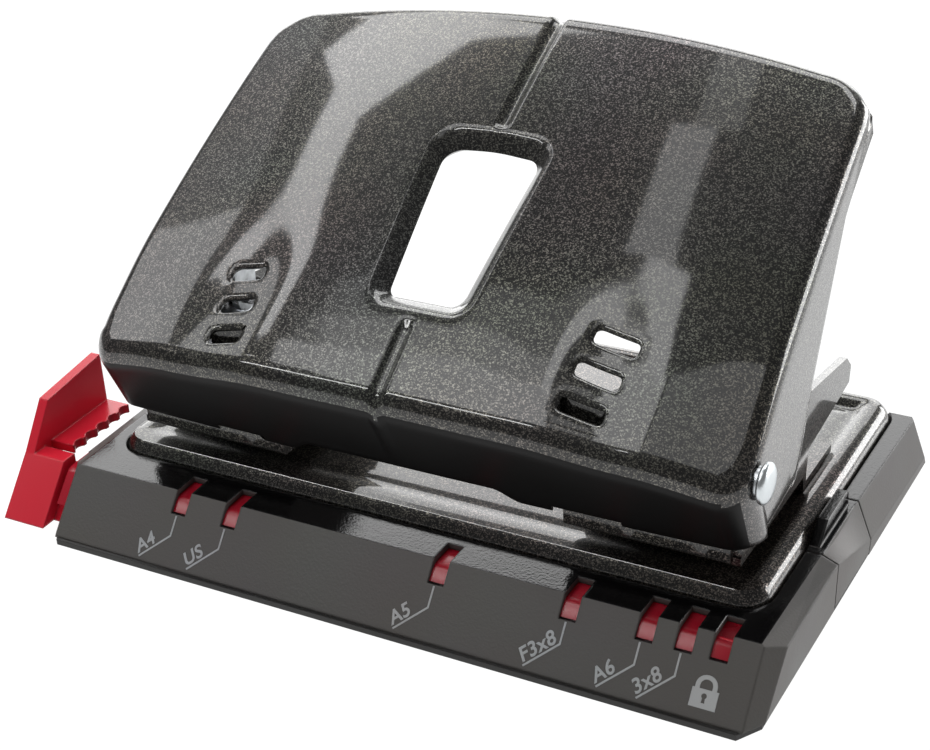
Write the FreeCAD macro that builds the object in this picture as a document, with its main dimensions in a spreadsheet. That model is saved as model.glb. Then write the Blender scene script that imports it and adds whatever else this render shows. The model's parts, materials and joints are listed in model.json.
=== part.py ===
# Two-hole desk punch: a pressed lever over two punching towers, a base pan in a plastic tray,
# and a sliding paper guide.
# Frame: +X to the right along the tray, +Y to the rear, +Z up, origin at the middle of the
# flat bottom face. Millimetres.
import FreeCAD, Part
import math
import os

import Sketcher
from FreeCAD import Placement, Rotation, Vector

document = FreeCAD.newDocument("HolePunch")
sheet = document.addObject("Spreadsheet::Sheet", "Sizes")

# ---------------------------------------------------------------- driving dimensions
DIMENSIONS = {
    # punching geometry
    "punch_spacing": 80.0,          # standard two-hole filing distance
    "punch_radius": 2.75,           # a 5.5 mm hole
    "punch_clearance": 0.05,        # radial, in the bush and in the die hole
    "paper_margin": 12.0,           # hole centre to paper edge
    "paper_gap": 2.4,               # base pan to tower web
    "pivot_setback": -22.8,         # lever pivot, from the middle of the base
    "pivot_height": 28.8,
    "arm_radius": 14.4,             # lever pivot to drive pin
    "half_swing": 13.5,             # degrees of lever travel each side of level
    "fit_gap": 0.05,                # radial gap of the running fits
    # tray frame
    "tray_height": 9.6,
    "tray_half_depth": 38.4,
    "tray_front_top": 30.0,
    "tray_rear_top": 32.6,
    "tray_margin": 4.75,            # the tray's crease beyond the end of the pan
    "tray_front_inset": 2.75,       # top edge inside the crease, at the front
    "tray_rear_inset": 1.55,
    "tray_foot_inset": 0.35,
    "crease_front": 8.2,            # heights of the crease along the tray's ends
    "crease_seam": 8.6,
    "crease_groove": 3.6,
    "crease_rear": 2.2,
    "corner_across": 2.2,
    "corner_along": 3.5,
    "well_gap": 0.2,
    "ledge_width": 2.2,
    "channel_shell": 0.8,           # tray wall over the guide channel
    "channel_rear": 25.0,
    "channel_end_inset": 4.55,
    # bottom cover
    "cover_thickness": 0.9,
    "cover_inset": 0.3,
    "cover_door_relief": 0.45,      # floor left under the door's lower edge
    "cover_rim_height": 3.2,
    "cover_rim_wall": 1.2,
    # chip door
    "door_front": -8.0,
    "door_rear": 7.0,
    "door_gap": 0.3,
    "door_skin_depth": 2.75,
    "door_skin_bottom": 1.4,
    "door_pin_depth": 1.75,         # under the tray's widest line
    "door_pin_height": 2.4,
    "door_pin_radius": 0.7,
    "door_pin_hold": 4.0,           # how far the pin runs into the tray at each end
    "door_barrel_radius": 1.3,
    "door_lid_thickness": 1.3,
    "tab_height": 2.6,
    "tab_depth": 3.15,
    "tab_thickness": 1.5,
    # base pan
    "pan_margin": 1.9,              # the pan beyond the lever's sides
    "pan_front": 23.9,
    "pan_rear": 33.9,
    "pan_corner": 4.5,
    "pan_top": 11.4,
    "pan_skirt": 6.0,
    "pan_sheet": 1.4,
    "pan_rim": 3.2,
    # towers
    "sheet": 1.2,
    "tower_outer_reach": 8.2,       # punch axis to the tower's faces
    "tower_inner_reach": 17.2,
    "lip_height": 3.4,
    "lip_front": 21.4,
    "nose_radius": 2.5,
    "foot_length": 12.0,
    "ear_rear": 22.6,
    "ear_rise": 4.5,                # the outer wall's ear over the lever wall's lower edge
    "inner_rear": 9.0,              # the inner wall is shorter and lower
    "inner_rise": 3.5,
    "rivet_radius": 1.5,
    "rivet_inset": 6.0,             # rivets inside the foot's ends, and behind its middle
    "rivet_offset": 0.8,
    "rivet_head_radius": 2.6,
    "rivet_head_height": 1.0,
    # pivot rivets
    "pivot_radius": 1.6,
    "pivot_head_radius": 2.6,
    "pivot_head_thickness": 1.0,
    "pivot_collar_radius": 2.1,
    "pivot_collar_length": 1.1,
    "pivot_washer_radius": 2.4,
    "washer_thickness": 1.3,
    # lever shell
    "lever_sheet": 1.2,
    "lever_taper": 1.6,             # how much narrower each side is at the rear
    "lever_rear_corner": 29.0,
    "lever_rear_middle": 30.6,
    "lever_corner_radius": 7.0,
    "lever_bow_radius": 393.3,      # side-view curve of the lever's top
    "lever_bow_back": 195.1,
    "lever_bow_below": 288.1,
    "lever_crown_drop": 3.9,        # how far the top falls from the middle to the sides
    "lever_fold_radius": 2.6,
    "apron_bottom": 18.5,
    "apron_lean": 0.465,            # run per unit of height
    "apron_ahead": 4.3895,          # front face ahead of the pivot, at the pivot's height
    "apron_bow": 1.0,               # how far its middle stands in front of its corners
    "apron_corner": 3.4,
    "wall_bottom": 19.5,
    "trim_foot": 15.3,              # the side wall's lower edge, behind and above the pivot
    "trim_heel": 17.5,
    "trim_heel_rise": 1.8,
    "trim_calf": 22.9,
    "trim_calf_rise": 2.1,
    "trim_knee": 36.0,
    "trim_knee_rise": 21.0,
    "trim_hip": 48.8,
    "trim_hip_rise": 30.2,
    "trim_end": 58.8,
    "trim_end_rise": 37.7,
    "arch_half": 18.5,
    "arch_top_half": 14.5,
    "arch_rise": 1.9,
    "window_half_front": 5.2,
    "window_half_rear": 7.7,
    "window_front": -16.0,
    "window_rear": 4.8,
    "slot_length": 6.4,
    "slot_width": 1.3,
    "slot_offset": 29.0,
    "slot_pitch": 4.3,
    "slot_step": 0.75,              # each slot stands this much nearer the middle
    "slot_rear": -15.8,
    # punches and springs
    "punch_tip_rest": 14.2,
    "drive_pin_radius": 1.25,
    "drive_pin_half": 5.4,
    "slot_play": 0.8,               # extra length of the punch's cross slot
    "yoke_sheet": 1.2,
    "yoke_gap": 0.6,
    "yoke_eye": 2.4,
    "yoke_flare": 1.5,
    "yoke_crown_half": 5.0,
    "yoke_crown_rise": 4.0,
    "punch_head": 2.6,
    "seat_drop": 3.0,
    "seat_thickness": 0.8,
    "seat_radius": 5.0,
    "groove_depth": 0.5,
    "bush_wall": 0.85,
    "bush_flange": 5.2,
    "bush_flange_thickness": 0.8,
    "bush_top": 19.5,
    "spring_radius": 4.3,
    "spring_wire": 0.4,
    "spring_turns": 5.0,
    # paper guide
    "stop_overhang": 6.25,          # stop face beyond the tray, guide pushed in
    "pointer_inset": 7.6,
    "notch_width": 2.5,
    "notch_depth": 2.7,
    "notch_rear": 26.0,
    "format_a": 148.5,              # half the paper height of each marked format
    "format_b": 139.7,
    "format_c": 105.0,
    "format_d": 85.0,
    "format_e": 74.0,
    "format_f": 68.5,
    "rail_depth": 2.6,
    "rail_wall": 1.6,
    "rail_bottom": 1.4,
    "pointer_gap": 0.1,
    "stop_thickness": 1.7,
    "stop_top_front": 16.3,
    "stop_top_rear": 17.8,
    "stop_rear": -12.0,
    "stop_step": -24.0,
    "stop_corner": -25.2,
    "grip_width": 4.3,
    "grip_thickness": 1.4,
    "grip_front": -26.0,
    "grip_scallop": 1.3,
    "arm_rear": 27.6,
    "arm_gap": 0.4,
}


class Size:
    """A length that knows its number and the sheet expression it comes from."""

    def __init__(self, number, text):
        self.number = number
        self.text = text

    def __add__(self, other):
        other = as_size(other)
        return Size(self.number + other.number, "(%s + %s)" % (self.text, other.text))

    def __sub__(self, other):
        other = as_size(other)
        return Size(self.number - other.number, "(%s - %s)" % (self.text, other.text))

    def __mul__(self, other):
        other = as_size(other)
        return Size(self.number * other.number, "(%s * %s)" % (self.text, other.text))

    def __truediv__(self, other):
        other = as_size(other)
        return Size(self.number / other.number, "(%s / %s)" % (self.text, other.text))

    def __neg__(self):
        return Size(-self.number, "(0 - %s)" % self.text)

    __radd__ = __add__
    __rmul__ = __mul__

    def __rsub__(self, other):
        return as_size(other) - self


def as_size(value):
    """A plain number becomes a Size with itself as its text."""
    return value if isinstance(value, Size) else Size(float(value), repr(float(value)))


def sine(angle):
    return Size(math.sin(math.radians(angle.number)), "sin(%s * 1 deg)" % angle.text)


def cosine(angle):
    return Size(math.cos(math.radians(angle.number)), "cos(%s * 1 deg)" % angle.text)


def root(value):
    return Size(math.sqrt(value.number), "sqrt(%s)" % value.text)


class Sizes:
    """The sheet's cells, each as an attribute that is a Size."""


s = Sizes()
for row, (alias, number) in enumerate(DIMENSIONS.items(), start=1):
    sheet.set("A%d" % row, alias)
    sheet.set("B%d" % row, str(number))
    sheet.setAlias("B%d" % row, alias)
    setattr(s, alias, Size(number, "Sizes." + alias))
document.recompute()


# ---------------------------------------------------------------- modelling helpers
PLANES = {
    "XY": Rotation(),                           # sketch axes X, Y; normal +Z
    "YZ": Rotation(Vector(1, 1, 1), 120),       # sketch axes Y, Z; normal +X
    "XZ": Rotation(Vector(1, 0, 0), 90),        # sketch axes X, Z; normal -Y
}
NORMAL = {"XY": "z", "YZ": "x", "XZ": "y"}


def bind(thing, prop, value):
    thing.setExpression(prop, as_size(value).text)


def outline(name, plane, points, offset=0.0):
    """A closed sketch through the points. A third entry is the radius of an arc to the next
    point, bulging to the right of the direction of travel."""
    sketch = document.addObject("Sketcher::SketchObject", name)
    place = Vector(0, 0, 0)
    offset = as_size(offset)
    setattr(place, NORMAL[plane], offset.number)
    sketch.Placement = Placement(place, PLANES[plane])
    bind(sketch, "Placement.Base.%s" % NORMAL[plane], offset)
    points = [[as_size(value) for value in point] for point in points]
    corners = [Vector(point[0].number, point[1].number, 0) for point in points]
    for index, point in enumerate(points):
        start = corners[index]
        end = corners[(index + 1) % len(points)]
        if len(point) == 2:
            sketch.addGeometry(Part.LineSegment(start, end))
            continue
        chord = end - start
        half = chord.Length / 2
        outward = Vector(chord.y, -chord.x, 0).normalize()
        sagitta = point[2].number - math.sqrt(point[2].number ** 2 - half ** 2)
        middle = (start + end) * 0.5 + outward * sagitta
        sketch.addGeometry(Part.Arc(start, middle, end))
    arcs = {index for index, point in enumerate(points) if len(point) == 3}
    # FreeCAD stores every arc counter-clockwise, so an arc's travel start can be its end.
    ends = []
    for index in range(len(points)):
        shape = sketch.Geometry[index]
        turned = index in arcs and (shape.StartPoint - corners[index]).Length > 1e-6
        ends.append((2, 1) if turned else (1, 2))
    for index, point in enumerate(points):
        following = (index + 1) % len(points)
        sketch.addConstraint(Sketcher.Constraint(
            "Coincident", index, ends[index][1], following, ends[following][0]))
    for index, point in enumerate(points):
        for kind, value in (("DistanceX", point[0]), ("DistanceY", point[1])):
            number = sketch.addConstraint(Sketcher.Constraint(
                kind, -1, 1, index, ends[index][0], value.number))
            sketch.setExpression("Constraints[%d]" % number, value.text)
        if index in arcs:
            number = sketch.addConstraint(Sketcher.Constraint("Radius", index, point[2].number))
            sketch.setExpression("Constraints[%d]" % number, point[2].text)
    return sketch


def prism(name, plane, points, start, end):
    """The outline extruded along its plane's axis, from start to end."""
    start, end = as_size(start), as_size(end)
    base = end if plane == "XZ" else start      # the XZ normal points along -Y
    solid = document.addObject("Part::Extrusion", name)
    solid.Base = outline(name + "_outline", plane, points, base)
    solid.DirMode = "Normal"
    solid.Solid = True
    bind(solid, "LengthFwd", end - start)
    return solid


def block(name, low, high):
    """A box between two corners."""
    solid = document.addObject("Part::Box", name)
    for prop, axis, near, far in zip(("Length", "Width", "Height"), "xyz", low, high):
        bind(solid, prop, as_size(far) - near)
        bind(solid, "Placement.Base.%s" % axis, near)
    return solid


def rod(name, axis, centre, radius, length):
    """A cylinder from the centre point along +axis."""
    solid = document.addObject("Part::Cylinder", name)
    turn = {"x": Rotation(Vector(0, 1, 0), 90), "y": Rotation(Vector(1, 0, 0), -90),
            "z": Rotation()}[axis]
    solid.Placement = Placement(Vector(0, 0, 0), turn)
    for place, value in zip("xyz", centre):
        bind(solid, "Placement.Base.%s" % place, value)
    bind(solid, "Radius", radius)
    bind(solid, "Height", length)
    return solid


def turned(name, axis, centre, points):
    """A solid of revolution: points are (distance along the axis, radius)."""
    plane = {"x": "XZ", "z": "XZ"}[axis]
    if axis == "z":
        points = [(radius, along) for along, radius in points]
    profile = outline(name + "_outline", plane, points)
    solid = document.addObject("Part::Revolution", name)
    solid.Source = profile
    solid.Axis = {"x": Vector(1, 0, 0), "z": Vector(0, 0, 1)}[axis]
    solid.Angle = 360
    solid.Solid = True
    for place, value in zip("xyz", centre):
        bind(solid, "Placement.Base.%s" % place, value)
    return solid


def fuse(name, parts):
    solid = document.addObject("Part::MultiFuse", name)
    solid.Shapes = parts
    solid.Refine = True
    return solid


def common(name, parts):
    solid = document.addObject("Part::MultiCommon", name)
    solid.Shapes = parts
    return solid


def cut(name, base, tools):
    solid = document.addObject("Part::Cut", name)
    solid.Base = base
    solid.Tool = tools[0] if len(tools) == 1 else fuse(name + "_tools", tools)
    return solid


def mirrored(name, source, across="x"):
    solid = document.addObject("Part::Mirroring", name)
    solid.Source = source
    solid.Normal = Vector(1, 0, 0) if across == "x" else Vector(0, 1, 0)
    return solid


def rounded(name, base, radius, wanted):
    """Fillets the edges whose middle point and direction pass the wanted test."""
    document.recompute()
    chosen = []
    for index, edge in enumerate(base.Shape.Edges, start=1):
        middle = edge.valueAt((edge.FirstParameter + edge.LastParameter) / 2)
        run = edge.valueAt(edge.LastParameter) - edge.valueAt(edge.FirstParameter)
        if wanted(middle, run):
            chosen.append((index, radius.number, radius.number))
    if not chosen:
        raise RuntimeError("%s found no edge to round" % name)
    solid = document.addObject("Part::Fillet", name)
    solid.Base = base
    solid.Edges = chosen
    return solid


def rounded_rectangle(half, front, rear, radius):
    """Counter-clockwise outline, symmetric about x = 0."""
    return [(-half + radius, front), (half - radius, front, radius), (half, front + radius),
            (half, rear - radius, radius), (half - radius, rear), (-half + radius, rear, radius),
            (-half, rear - radius), (-half, front + radius, radius)]


finished = {}


def keep(node, solid):
    """Names a finished sub-part after its node."""
    solid.Label = node
    finished[node] = solid
    return solid


# ---------------------------------------------------------------- derived places
# Every width follows from the punch spacing: towers, washers, lever, pan, tray, guide.
half_spacing = s.punch_spacing / 2
s.cheek_outer = half_spacing + s.tower_outer_reach
s.cheek_inner = half_spacing - s.tower_inner_reach
s.lever_half_front = s.cheek_outer + s.washer_thickness + s.lever_sheet
s.lever_half_rear = s.lever_half_front - s.lever_taper
s.pan_half_length = s.lever_half_front + s.pan_margin
s.tray_widest_half = s.pan_half_length + s.tray_margin
s.tray_front_half = s.tray_widest_half - s.tray_front_inset
s.tray_rear_half = s.tray_widest_half - s.tray_rear_inset
s.tray_foot_half = s.tray_widest_half - s.tray_foot_inset
s.channel_end = s.tray_widest_half - s.channel_end_inset
s.door_skin_inner = s.tray_widest_half - s.door_skin_depth
s.door_pin_inset = s.tray_widest_half - s.door_pin_depth
s.tab_outer = s.tray_widest_half - s.tab_depth
s.tab_inner = s.tab_outer - s.tab_thickness
s.stop_parked = s.tray_widest_half + s.stop_overhang
s.pointer_parked = s.tray_widest_half - s.pointer_inset
tool_reach = s.lever_half_front * 1.2       # how far a cutting tool runs past the lever
tool_height = s.lever_half_front * 1.7
rod_reach = s.arm_radius * cosine(s.half_swing)
punch_y = s.pivot_setback + (s.arm_radius + rod_reach) / 2
drive_y = s.pivot_setback + rod_reach
drive_z = s.pivot_height + s.arm_radius * sine(s.half_swing)
stop_y = punch_y + s.paper_margin
web_bottom = s.pan_top + s.paper_gap
web_top = web_bottom + s.sheet
tray_front = -s.tray_half_depth
front_run = s.tray_half_depth - s.tray_front_top
rear_run = s.tray_half_depth - s.tray_rear_top
front_slope = front_run / s.tray_height
front_lean = root(front_slope * front_slope + 1)


def front_face(height, depth):
    """y of the tray's sloping front at a height, the given depth under its surface."""
    return tray_front + front_slope * as_size(height) + front_lean * as_size(depth)


# ---------------------------------------------------------------- tray frame
def tray_section(name, where, top_half, crease):
    """The tray's end facets at one place, carried a little above and below the tray."""
    beyond = 1.0
    slope = (s.tray_widest_half - top_half) / (s.tray_height - crease)
    crest = top_half - slope * beyond
    foot = s.tray_foot_half
    points = [(-foot, -beyond), (foot, -beyond), (s.tray_widest_half, crease),
              (crest, s.tray_height + beyond), (-crest, s.tray_height + beyond),
              (-s.tray_widest_half, crease)]
    return outline(name, "XZ", points, where)


def corner_cutter(name, front):
    """A wedge along the sloping corner of the tray."""
    run = s.tray_half_depth
    beyond = 3.0
    inner = s.tray_widest_half - s.corner_across
    points = [(inner - s.corner_across, -run - s.corner_along),
              (inner + s.corner_across * beyond, -run - s.corner_along),
              (inner + s.corner_across * beyond, -run + s.corner_along * beyond)]
    wedge = document.addObject("Part::Extrusion", name)
    wedge.Base = outline(name + "_outline", "XY", points)
    wedge.DirMode = "Custom"
    wedge.Solid = True
    slope = front_run if front else rear_run
    bind(wedge, "Dir.x", 0.0)
    bind(wedge, "Dir.y", slope)
    bind(wedge, "Dir.z", s.tray_height)
    bind(wedge, "LengthFwd", 1.2 * root(slope * slope + s.tray_height * s.tray_height))
    return wedge if front else mirrored(name + "_rear", wedge, "y")


def tray_body():
    """The faceted outer form, before anything is hollowed out of it."""
    groove_half = s.tray_front_half + (s.tray_rear_half - s.tray_front_half) * 0.55
    seam_half = s.tray_front_half + (s.tray_rear_half - s.tray_front_half) * 0.3
    loft = document.addObject("Part::Loft", "tray_loft")
    loft.Sections = [
        tray_section("tray_section_front", -s.tray_half_depth - 1, s.tray_front_half, s.crease_front),
        tray_section("tray_section_seam", s.door_front, seam_half, s.crease_seam),
        tray_section("tray_section_groove", s.door_rear, groove_half, s.crease_groove),
        tray_section("tray_section_rear", s.tray_half_depth + 1, s.tray_rear_half, s.crease_rear)]
    loft.Solid = True
    loft.Ruled = True
    rear_foot = s.tray_half_depth - rear_run * s.cover_thickness / s.tray_height
    side_view = prism("tray_side_view", "YZ", [
        (front_face(s.cover_thickness, 0), s.cover_thickness), (rear_foot, s.cover_thickness),
        (s.tray_rear_top, s.tray_height), (-s.tray_front_top, s.tray_height)],
        -s.tray_widest_half - 2, s.tray_widest_half + 2)
    body = common("tray_outer", [loft, side_view])
    front_right = corner_cutter("corner_front", True)
    rear_right = corner_cutter("corner_rear", False)
    return cut("tray_cornered", body, [front_right, mirrored("corner_front_left", front_right),
                                       rear_right, mirrored("corner_rear_left", rear_right)])


def format_places():
    """x of each notch: the pointer lines up with it when the stop is at that format."""
    formats = [s.format_a, s.format_b, s.format_c, s.format_d, s.format_e, s.format_f,
               s.stop_parked]
    return [s.pointer_parked - (reach - s.stop_parked) for reach in formats]


def tray_frame():
    half = s.pan_half_length + s.well_gap
    front = -s.pan_front - s.well_gap
    rear = s.pan_rear + s.well_gap
    well = prism("tray_well", "XY", rounded_rectangle(half, front, rear, s.pan_corner),
                 s.pan_skirt, s.tray_height + 1)
    hollow = block("tray_hollow",
                   (-half + s.ledge_width, front + s.ledge_width, 0),
                   (half - s.ledge_width, rear - s.ledge_width, s.pan_skirt + 1))
    roof = s.tray_height - s.channel_shell - s.pointer_gap
    channel = prism("guide_channel", "YZ", [
        (front_face(0, s.channel_shell), 0), (-s.channel_rear, 0), (-s.channel_rear, roof),
        (front_face(roof, s.channel_shell), roof)],
        -s.tray_widest_half - 2, s.channel_end)
    notches = []
    for number, place in enumerate(format_places(), start=1):
        notches.append(block("notch_%d" % number,
                             (place - s.notch_width / 2, tray_front, s.tray_height - s.notch_depth),
                             (place + s.notch_width / 2, -s.notch_rear, s.tray_height + 1)))
    doorway = block("doorway", (half - s.ledge_width - 1, s.door_front, 0),
                    (s.tray_widest_half + 2, s.door_rear, s.tray_height + 1))
    pin_bore = rod("door_pin_bore", "y",
                   (s.door_pin_inset, s.door_front - s.door_pin_hold, s.door_pin_height),
                   s.door_pin_radius, s.door_rear - s.door_front + s.door_pin_hold * 2)
    return cut("tray_frame_cut", tray_body(),
               [well, hollow, channel, doorway, pin_bore] + notches)


keep("tray_frame", tray_frame())


# ---------------------------------------------------------------- bottom cover
def bottom_cover():
    half = s.tray_foot_half - s.cover_inset
    depth = s.tray_half_depth - s.cover_inset
    across, along = s.corner_across, s.corner_along
    plate = prism("cover_plate", "XY", [
        (-half + across, -depth), (half - across, -depth), (half, -depth + along),
        (half, depth - along), (half - across, depth), (-half + across, depth),
        (-half, depth - along), (-half, -depth + along)], 0, s.cover_thickness)
    rim_half = s.pan_half_length + s.well_gap - s.ledge_width - 0.2
    rim_front = -s.pan_front - s.well_gap + s.ledge_width + 0.2
    rim_rear = s.pan_rear + s.well_gap - s.ledge_width - 0.2
    wall = s.cover_rim_wall
    top = s.cover_thickness + s.cover_rim_height
    outer = block("cover_rim_outer", (-rim_half, rim_front, s.cover_thickness / 2),
                  (rim_half, rim_rear, top))
    inner = block("cover_rim_inner", (-rim_half + wall, rim_front + wall, 0),
                  (rim_half - wall, rim_rear - wall, top + 1))
    mouth = block("cover_rim_mouth", (rim_half - wall - 1, s.door_front, 0),
                  (rim_half + 1, s.door_rear, top + 1))
    rim = cut("cover_rim", outer, [inner, mouth])
    relief = block("cover_relief", (s.tab_inner, s.door_front, s.cover_door_relief),
                   (half + 1, s.door_rear, s.cover_thickness + 1))
    return cut("cover_cut", fuse("cover_fused", [plate, rim]), [relief])


keep("bottom_cover", bottom_cover())


# ---------------------------------------------------------------- chip door
def chip_door():
    front = s.door_front + s.door_gap
    rear = s.door_rear - s.door_gap
    skin = common("door_skin", [tray_body_copy("door_tray"), block(
        "door_skin_box", (s.door_skin_inner, front, s.door_skin_bottom),
        (s.tray_widest_half + 2, rear, s.tray_height + 1))])
    lid = block("door_lid", (s.tab_inner, front, s.tray_height - s.door_lid_thickness),
                (s.door_skin_inner + 0.5, rear, s.tray_height))
    tab = prism("door_tab", "YZ", [
        (front + 0.4, s.tray_height - 0.5), (rear - 1.2, s.tray_height - 0.5),
        (rear - 1.2, s.tray_height + s.tab_height - 0.6),
        (rear - 1.8, s.tray_height + s.tab_height),
        (front + 4.4, s.tray_height + s.tab_height)], s.tab_inner, s.tab_outer)
    barrel = rod("door_barrel", "y", (s.door_pin_inset, front, s.door_pin_height),
                 s.door_barrel_radius, rear - front)
    bore = rod("door_bore", "y", (s.door_pin_inset, front - 1, s.door_pin_height),
               s.door_pin_radius + s.fit_gap, rear - front + 2)
    return cut("door_bored", fuse("door_fused", [skin, lid, tab, barrel]), [bore])


def tray_body_copy(name):
    """The tray's outer form again, so that the door carries on its facets."""
    link = document.addObject("Part::Refine", name)
    link.Source = document.getObject("tray_cornered")
    return link


keep("chip_door", chip_door())
keep("door_hinge_pin", rod("door_pin", "y",
                           (s.door_pin_inset, s.door_front - s.door_pin_hold + 0.1,
                            s.door_pin_height), s.door_pin_radius,
                           s.door_rear - s.door_front + s.door_pin_hold * 2 - 0.2))


# ---------------------------------------------------------------- base pan
def pan_shell(name, inset, bottom, top, rim):
    solid = prism(name, "XY", rounded_rectangle(
        s.pan_half_length - inset, -s.pan_front + inset, s.pan_rear - inset,
        s.pan_corner - inset), bottom, top)
    return rounded(name + "_rim", solid, rim,
                   lambda middle, run: abs(middle.z - as_size(top).number) < 0.01)


def base_plate():
    outer = pan_shell("pan_outer", as_size(0), s.pan_skirt, s.pan_top, s.pan_rim)
    inner = pan_shell("pan_inner", s.pan_sheet, s.pan_skirt - 1, s.pan_top - s.pan_sheet,
                      s.pan_rim - s.pan_sheet)
    holes = []
    for side, sign in (("left", -1), ("right", 1)):
        holes.append(rod("die_" + side, "z", (half_spacing * sign, punch_y, s.pan_skirt),
                         s.punch_radius + s.punch_clearance, s.pan_top))
        for number, place in enumerate(rivet_places(), start=1):
            holes.append(rod("pan_rivet_hole_%s_%d" % (side, number), "z",
                             (place[0] * sign, place[1], s.pan_skirt), s.rivet_radius,
                             s.pan_top))
    return cut("pan_cut", outer, [inner] + holes)


def rivet_places():
    """The rivets that hold a tower's foot to the pan, on the right side."""
    foot_middle = stop_y + s.foot_length / 2 + s.rivet_offset
    return [(s.cheek_inner + s.rivet_inset, foot_middle),
            (s.cheek_outer - s.rivet_inset, foot_middle)]


keep("base_plate", base_plate())


# ---------------------------------------------------------------- towers
def cheek(name, outer_face, rear, rise):
    """One upright wall of a tower, round at the pivot and drawn out to an ear at the rear."""
    nose_top = s.pivot_height + s.nose_radius
    ear_top = s.wall_bottom + rise
    wall = prism(name + "_wall", "YZ", [
        (-s.lip_front + s.sheet, web_bottom), (stop_y + s.sheet, web_bottom),
        (stop_y + 1.8, web_bottom + 3.5), (rear - 2.6, s.wall_bottom - 0.5),
        (rear, s.wall_bottom - 0.2), (rear + 0.6, ear_top - 2.2),
        (rear - 1.5, ear_top), (s.pivot_setback, nose_top),
        (s.pivot_setback, s.pivot_height - s.nose_radius),
        (-s.lip_front + 0.9, s.pivot_height - s.nose_radius - 0.8),
        (-s.lip_front + 0.9, web_top)], outer_face - s.sheet, outer_face)
    nose = rod(name + "_nose", "x", (outer_face - s.sheet, s.pivot_setback, s.pivot_height),
               s.nose_radius, s.sheet)
    return fuse(name, [wall, nose])


def punch_bracket():
    outer = cheek("cheek_outside", s.cheek_outer, s.ear_rear, s.ear_rise)
    inner = cheek("cheek_inside", s.cheek_inner + s.sheet, s.inner_rear, s.inner_rise)
    low, high = s.cheek_inner, s.cheek_outer
    web = block("tower_web", (low, -s.lip_front + s.sheet / 2, web_bottom),
                (high, stop_y + s.sheet, web_top))
    lip = block("tower_lip", (low, -s.lip_front, web_bottom),
                (high - s.sheet, -s.lip_front + s.sheet, web_bottom + s.lip_height))
    step = block("tower_step", (low, stop_y, s.pan_top), (high, stop_y + s.sheet, web_top))
    foot = block("tower_foot", (low, stop_y, s.pan_top),
                 (high, stop_y + s.foot_length, s.pan_top + s.sheet))
    body = fuse("tower_fused", [outer, inner, web, lip, step, foot])
    bends = rounded("tower_bends", body, s.sheet * 0.8, lambda middle, run: (
        abs(run.x) > 15 and abs(middle.y + s.lip_front.number) < 0.01
        and abs(middle.z - web_bottom.number) < 0.01))
    holes = [rod("tower_bush_hole", "z", (half_spacing, punch_y, web_bottom - 1),
                 s.punch_radius + s.punch_clearance + s.bush_wall, 4),
             rod("tower_pivot_hole", "x", (s.cheek_inner - 1, s.pivot_setback, s.pivot_height),
                 s.pivot_radius, s.cheek_outer - s.cheek_inner + 2)]
    for number, place in enumerate(rivet_places(), start=1):
        holes.append(rod("foot_hole_%d" % number, "z", (place[0], place[1], s.pan_top - 1),
                         s.rivet_radius, 4))
    return cut("tower_cut", bends, holes)


def keep_pair(node, solid):
    """The right-hand piece and its mirror image."""
    keep(node + "_right", solid)
    keep(node + "_left", mirrored(node + "_mirrored", solid))


keep_pair("punch_bracket", punch_bracket())


def foot_rivets():
    rivets = []
    bottom = s.pan_top - s.pan_sheet
    top = s.pan_top + s.sheet
    head, dome = s.rivet_head_radius, s.rivet_head_height
    for number, place in enumerate(rivet_places(), start=1):
        rivets.append(turned("foot_rivet_%d" % number, "z", (place[0], place[1], 0), [
            (bottom - dome, 0), (bottom - dome, head * 0.6), (bottom, head),
            (bottom, s.rivet_radius), (top, s.rivet_radius), (top, head),
            (top + dome, head * 0.6), (top + dome, 0)]))
    group = document.addObject("Part::Compound", "foot_rivet_group")
    group.Links = rivets
    return group


keep_pair("bracket_rivets", foot_rivets())


def lever_half(where):
    """Half width of the lever at a y."""
    run = s.lever_rear_corner - s.lever_corner_radius - s.pivot_setback + 4.0
    taper = (s.lever_half_front - s.lever_half_rear) / run
    return s.lever_half_front - taper * (as_size(where) - s.pivot_setback + 4.0)


def pivot_rivet():
    wall_out = lever_half(s.pivot_setback)
    collar_end = wall_out + s.pivot_collar_length
    head_end = collar_end + s.pivot_head_thickness
    tail = s.cheek_inner - 1.0
    return turned("pivot_turned", "x", (0, s.pivot_setback, s.pivot_height), [
        (tail, 0), (tail, s.pivot_radius * 1.3), (s.cheek_inner, s.pivot_radius * 1.5),
        (s.cheek_inner, s.pivot_radius), (wall_out + s.fit_gap, s.pivot_radius),
        (wall_out + s.fit_gap, s.pivot_collar_radius), (collar_end, s.pivot_collar_radius),
        (collar_end, s.pivot_head_radius), (head_end - 0.35, s.pivot_head_radius),
        (head_end, s.pivot_head_radius * 0.75), (head_end, 0)])


keep_pair("pivot_rivet", pivot_rivet())


# ---------------------------------------------------------------- lever
def lever_top(name, inset):
    """All that lies under the lever's top surface: a shallow crown swept along its bow."""
    crown_radius = (s.lever_half_front * s.lever_half_front / s.lever_crown_drop
                    + s.lever_crown_drop) / 2
    reach = s.lever_half_front + 4
    drop = crown_radius - root(crown_radius * crown_radius - reach * reach)
    radius = s.lever_bow_radius - inset
    profile = outline(name + "_outline", "XZ", [
        (-reach, radius * 0.85), (reach, radius * 0.85), (reach, radius - drop, crown_radius),
        (-reach, radius - drop)])
    solid = document.addObject("Part::Revolution", name)
    solid.Source = profile
    solid.Axis = Vector(1, 0, 0)
    solid.Angle = 30
    solid.Solid = True
    solid.Placement = Placement(Vector(0, 0, 0), Rotation(Vector(1, 0, 0), 15))
    bind(solid, "Placement.Base.y", s.lever_bow_back)
    bind(solid, "Placement.Base.z", -s.lever_bow_below)
    return solid


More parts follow.
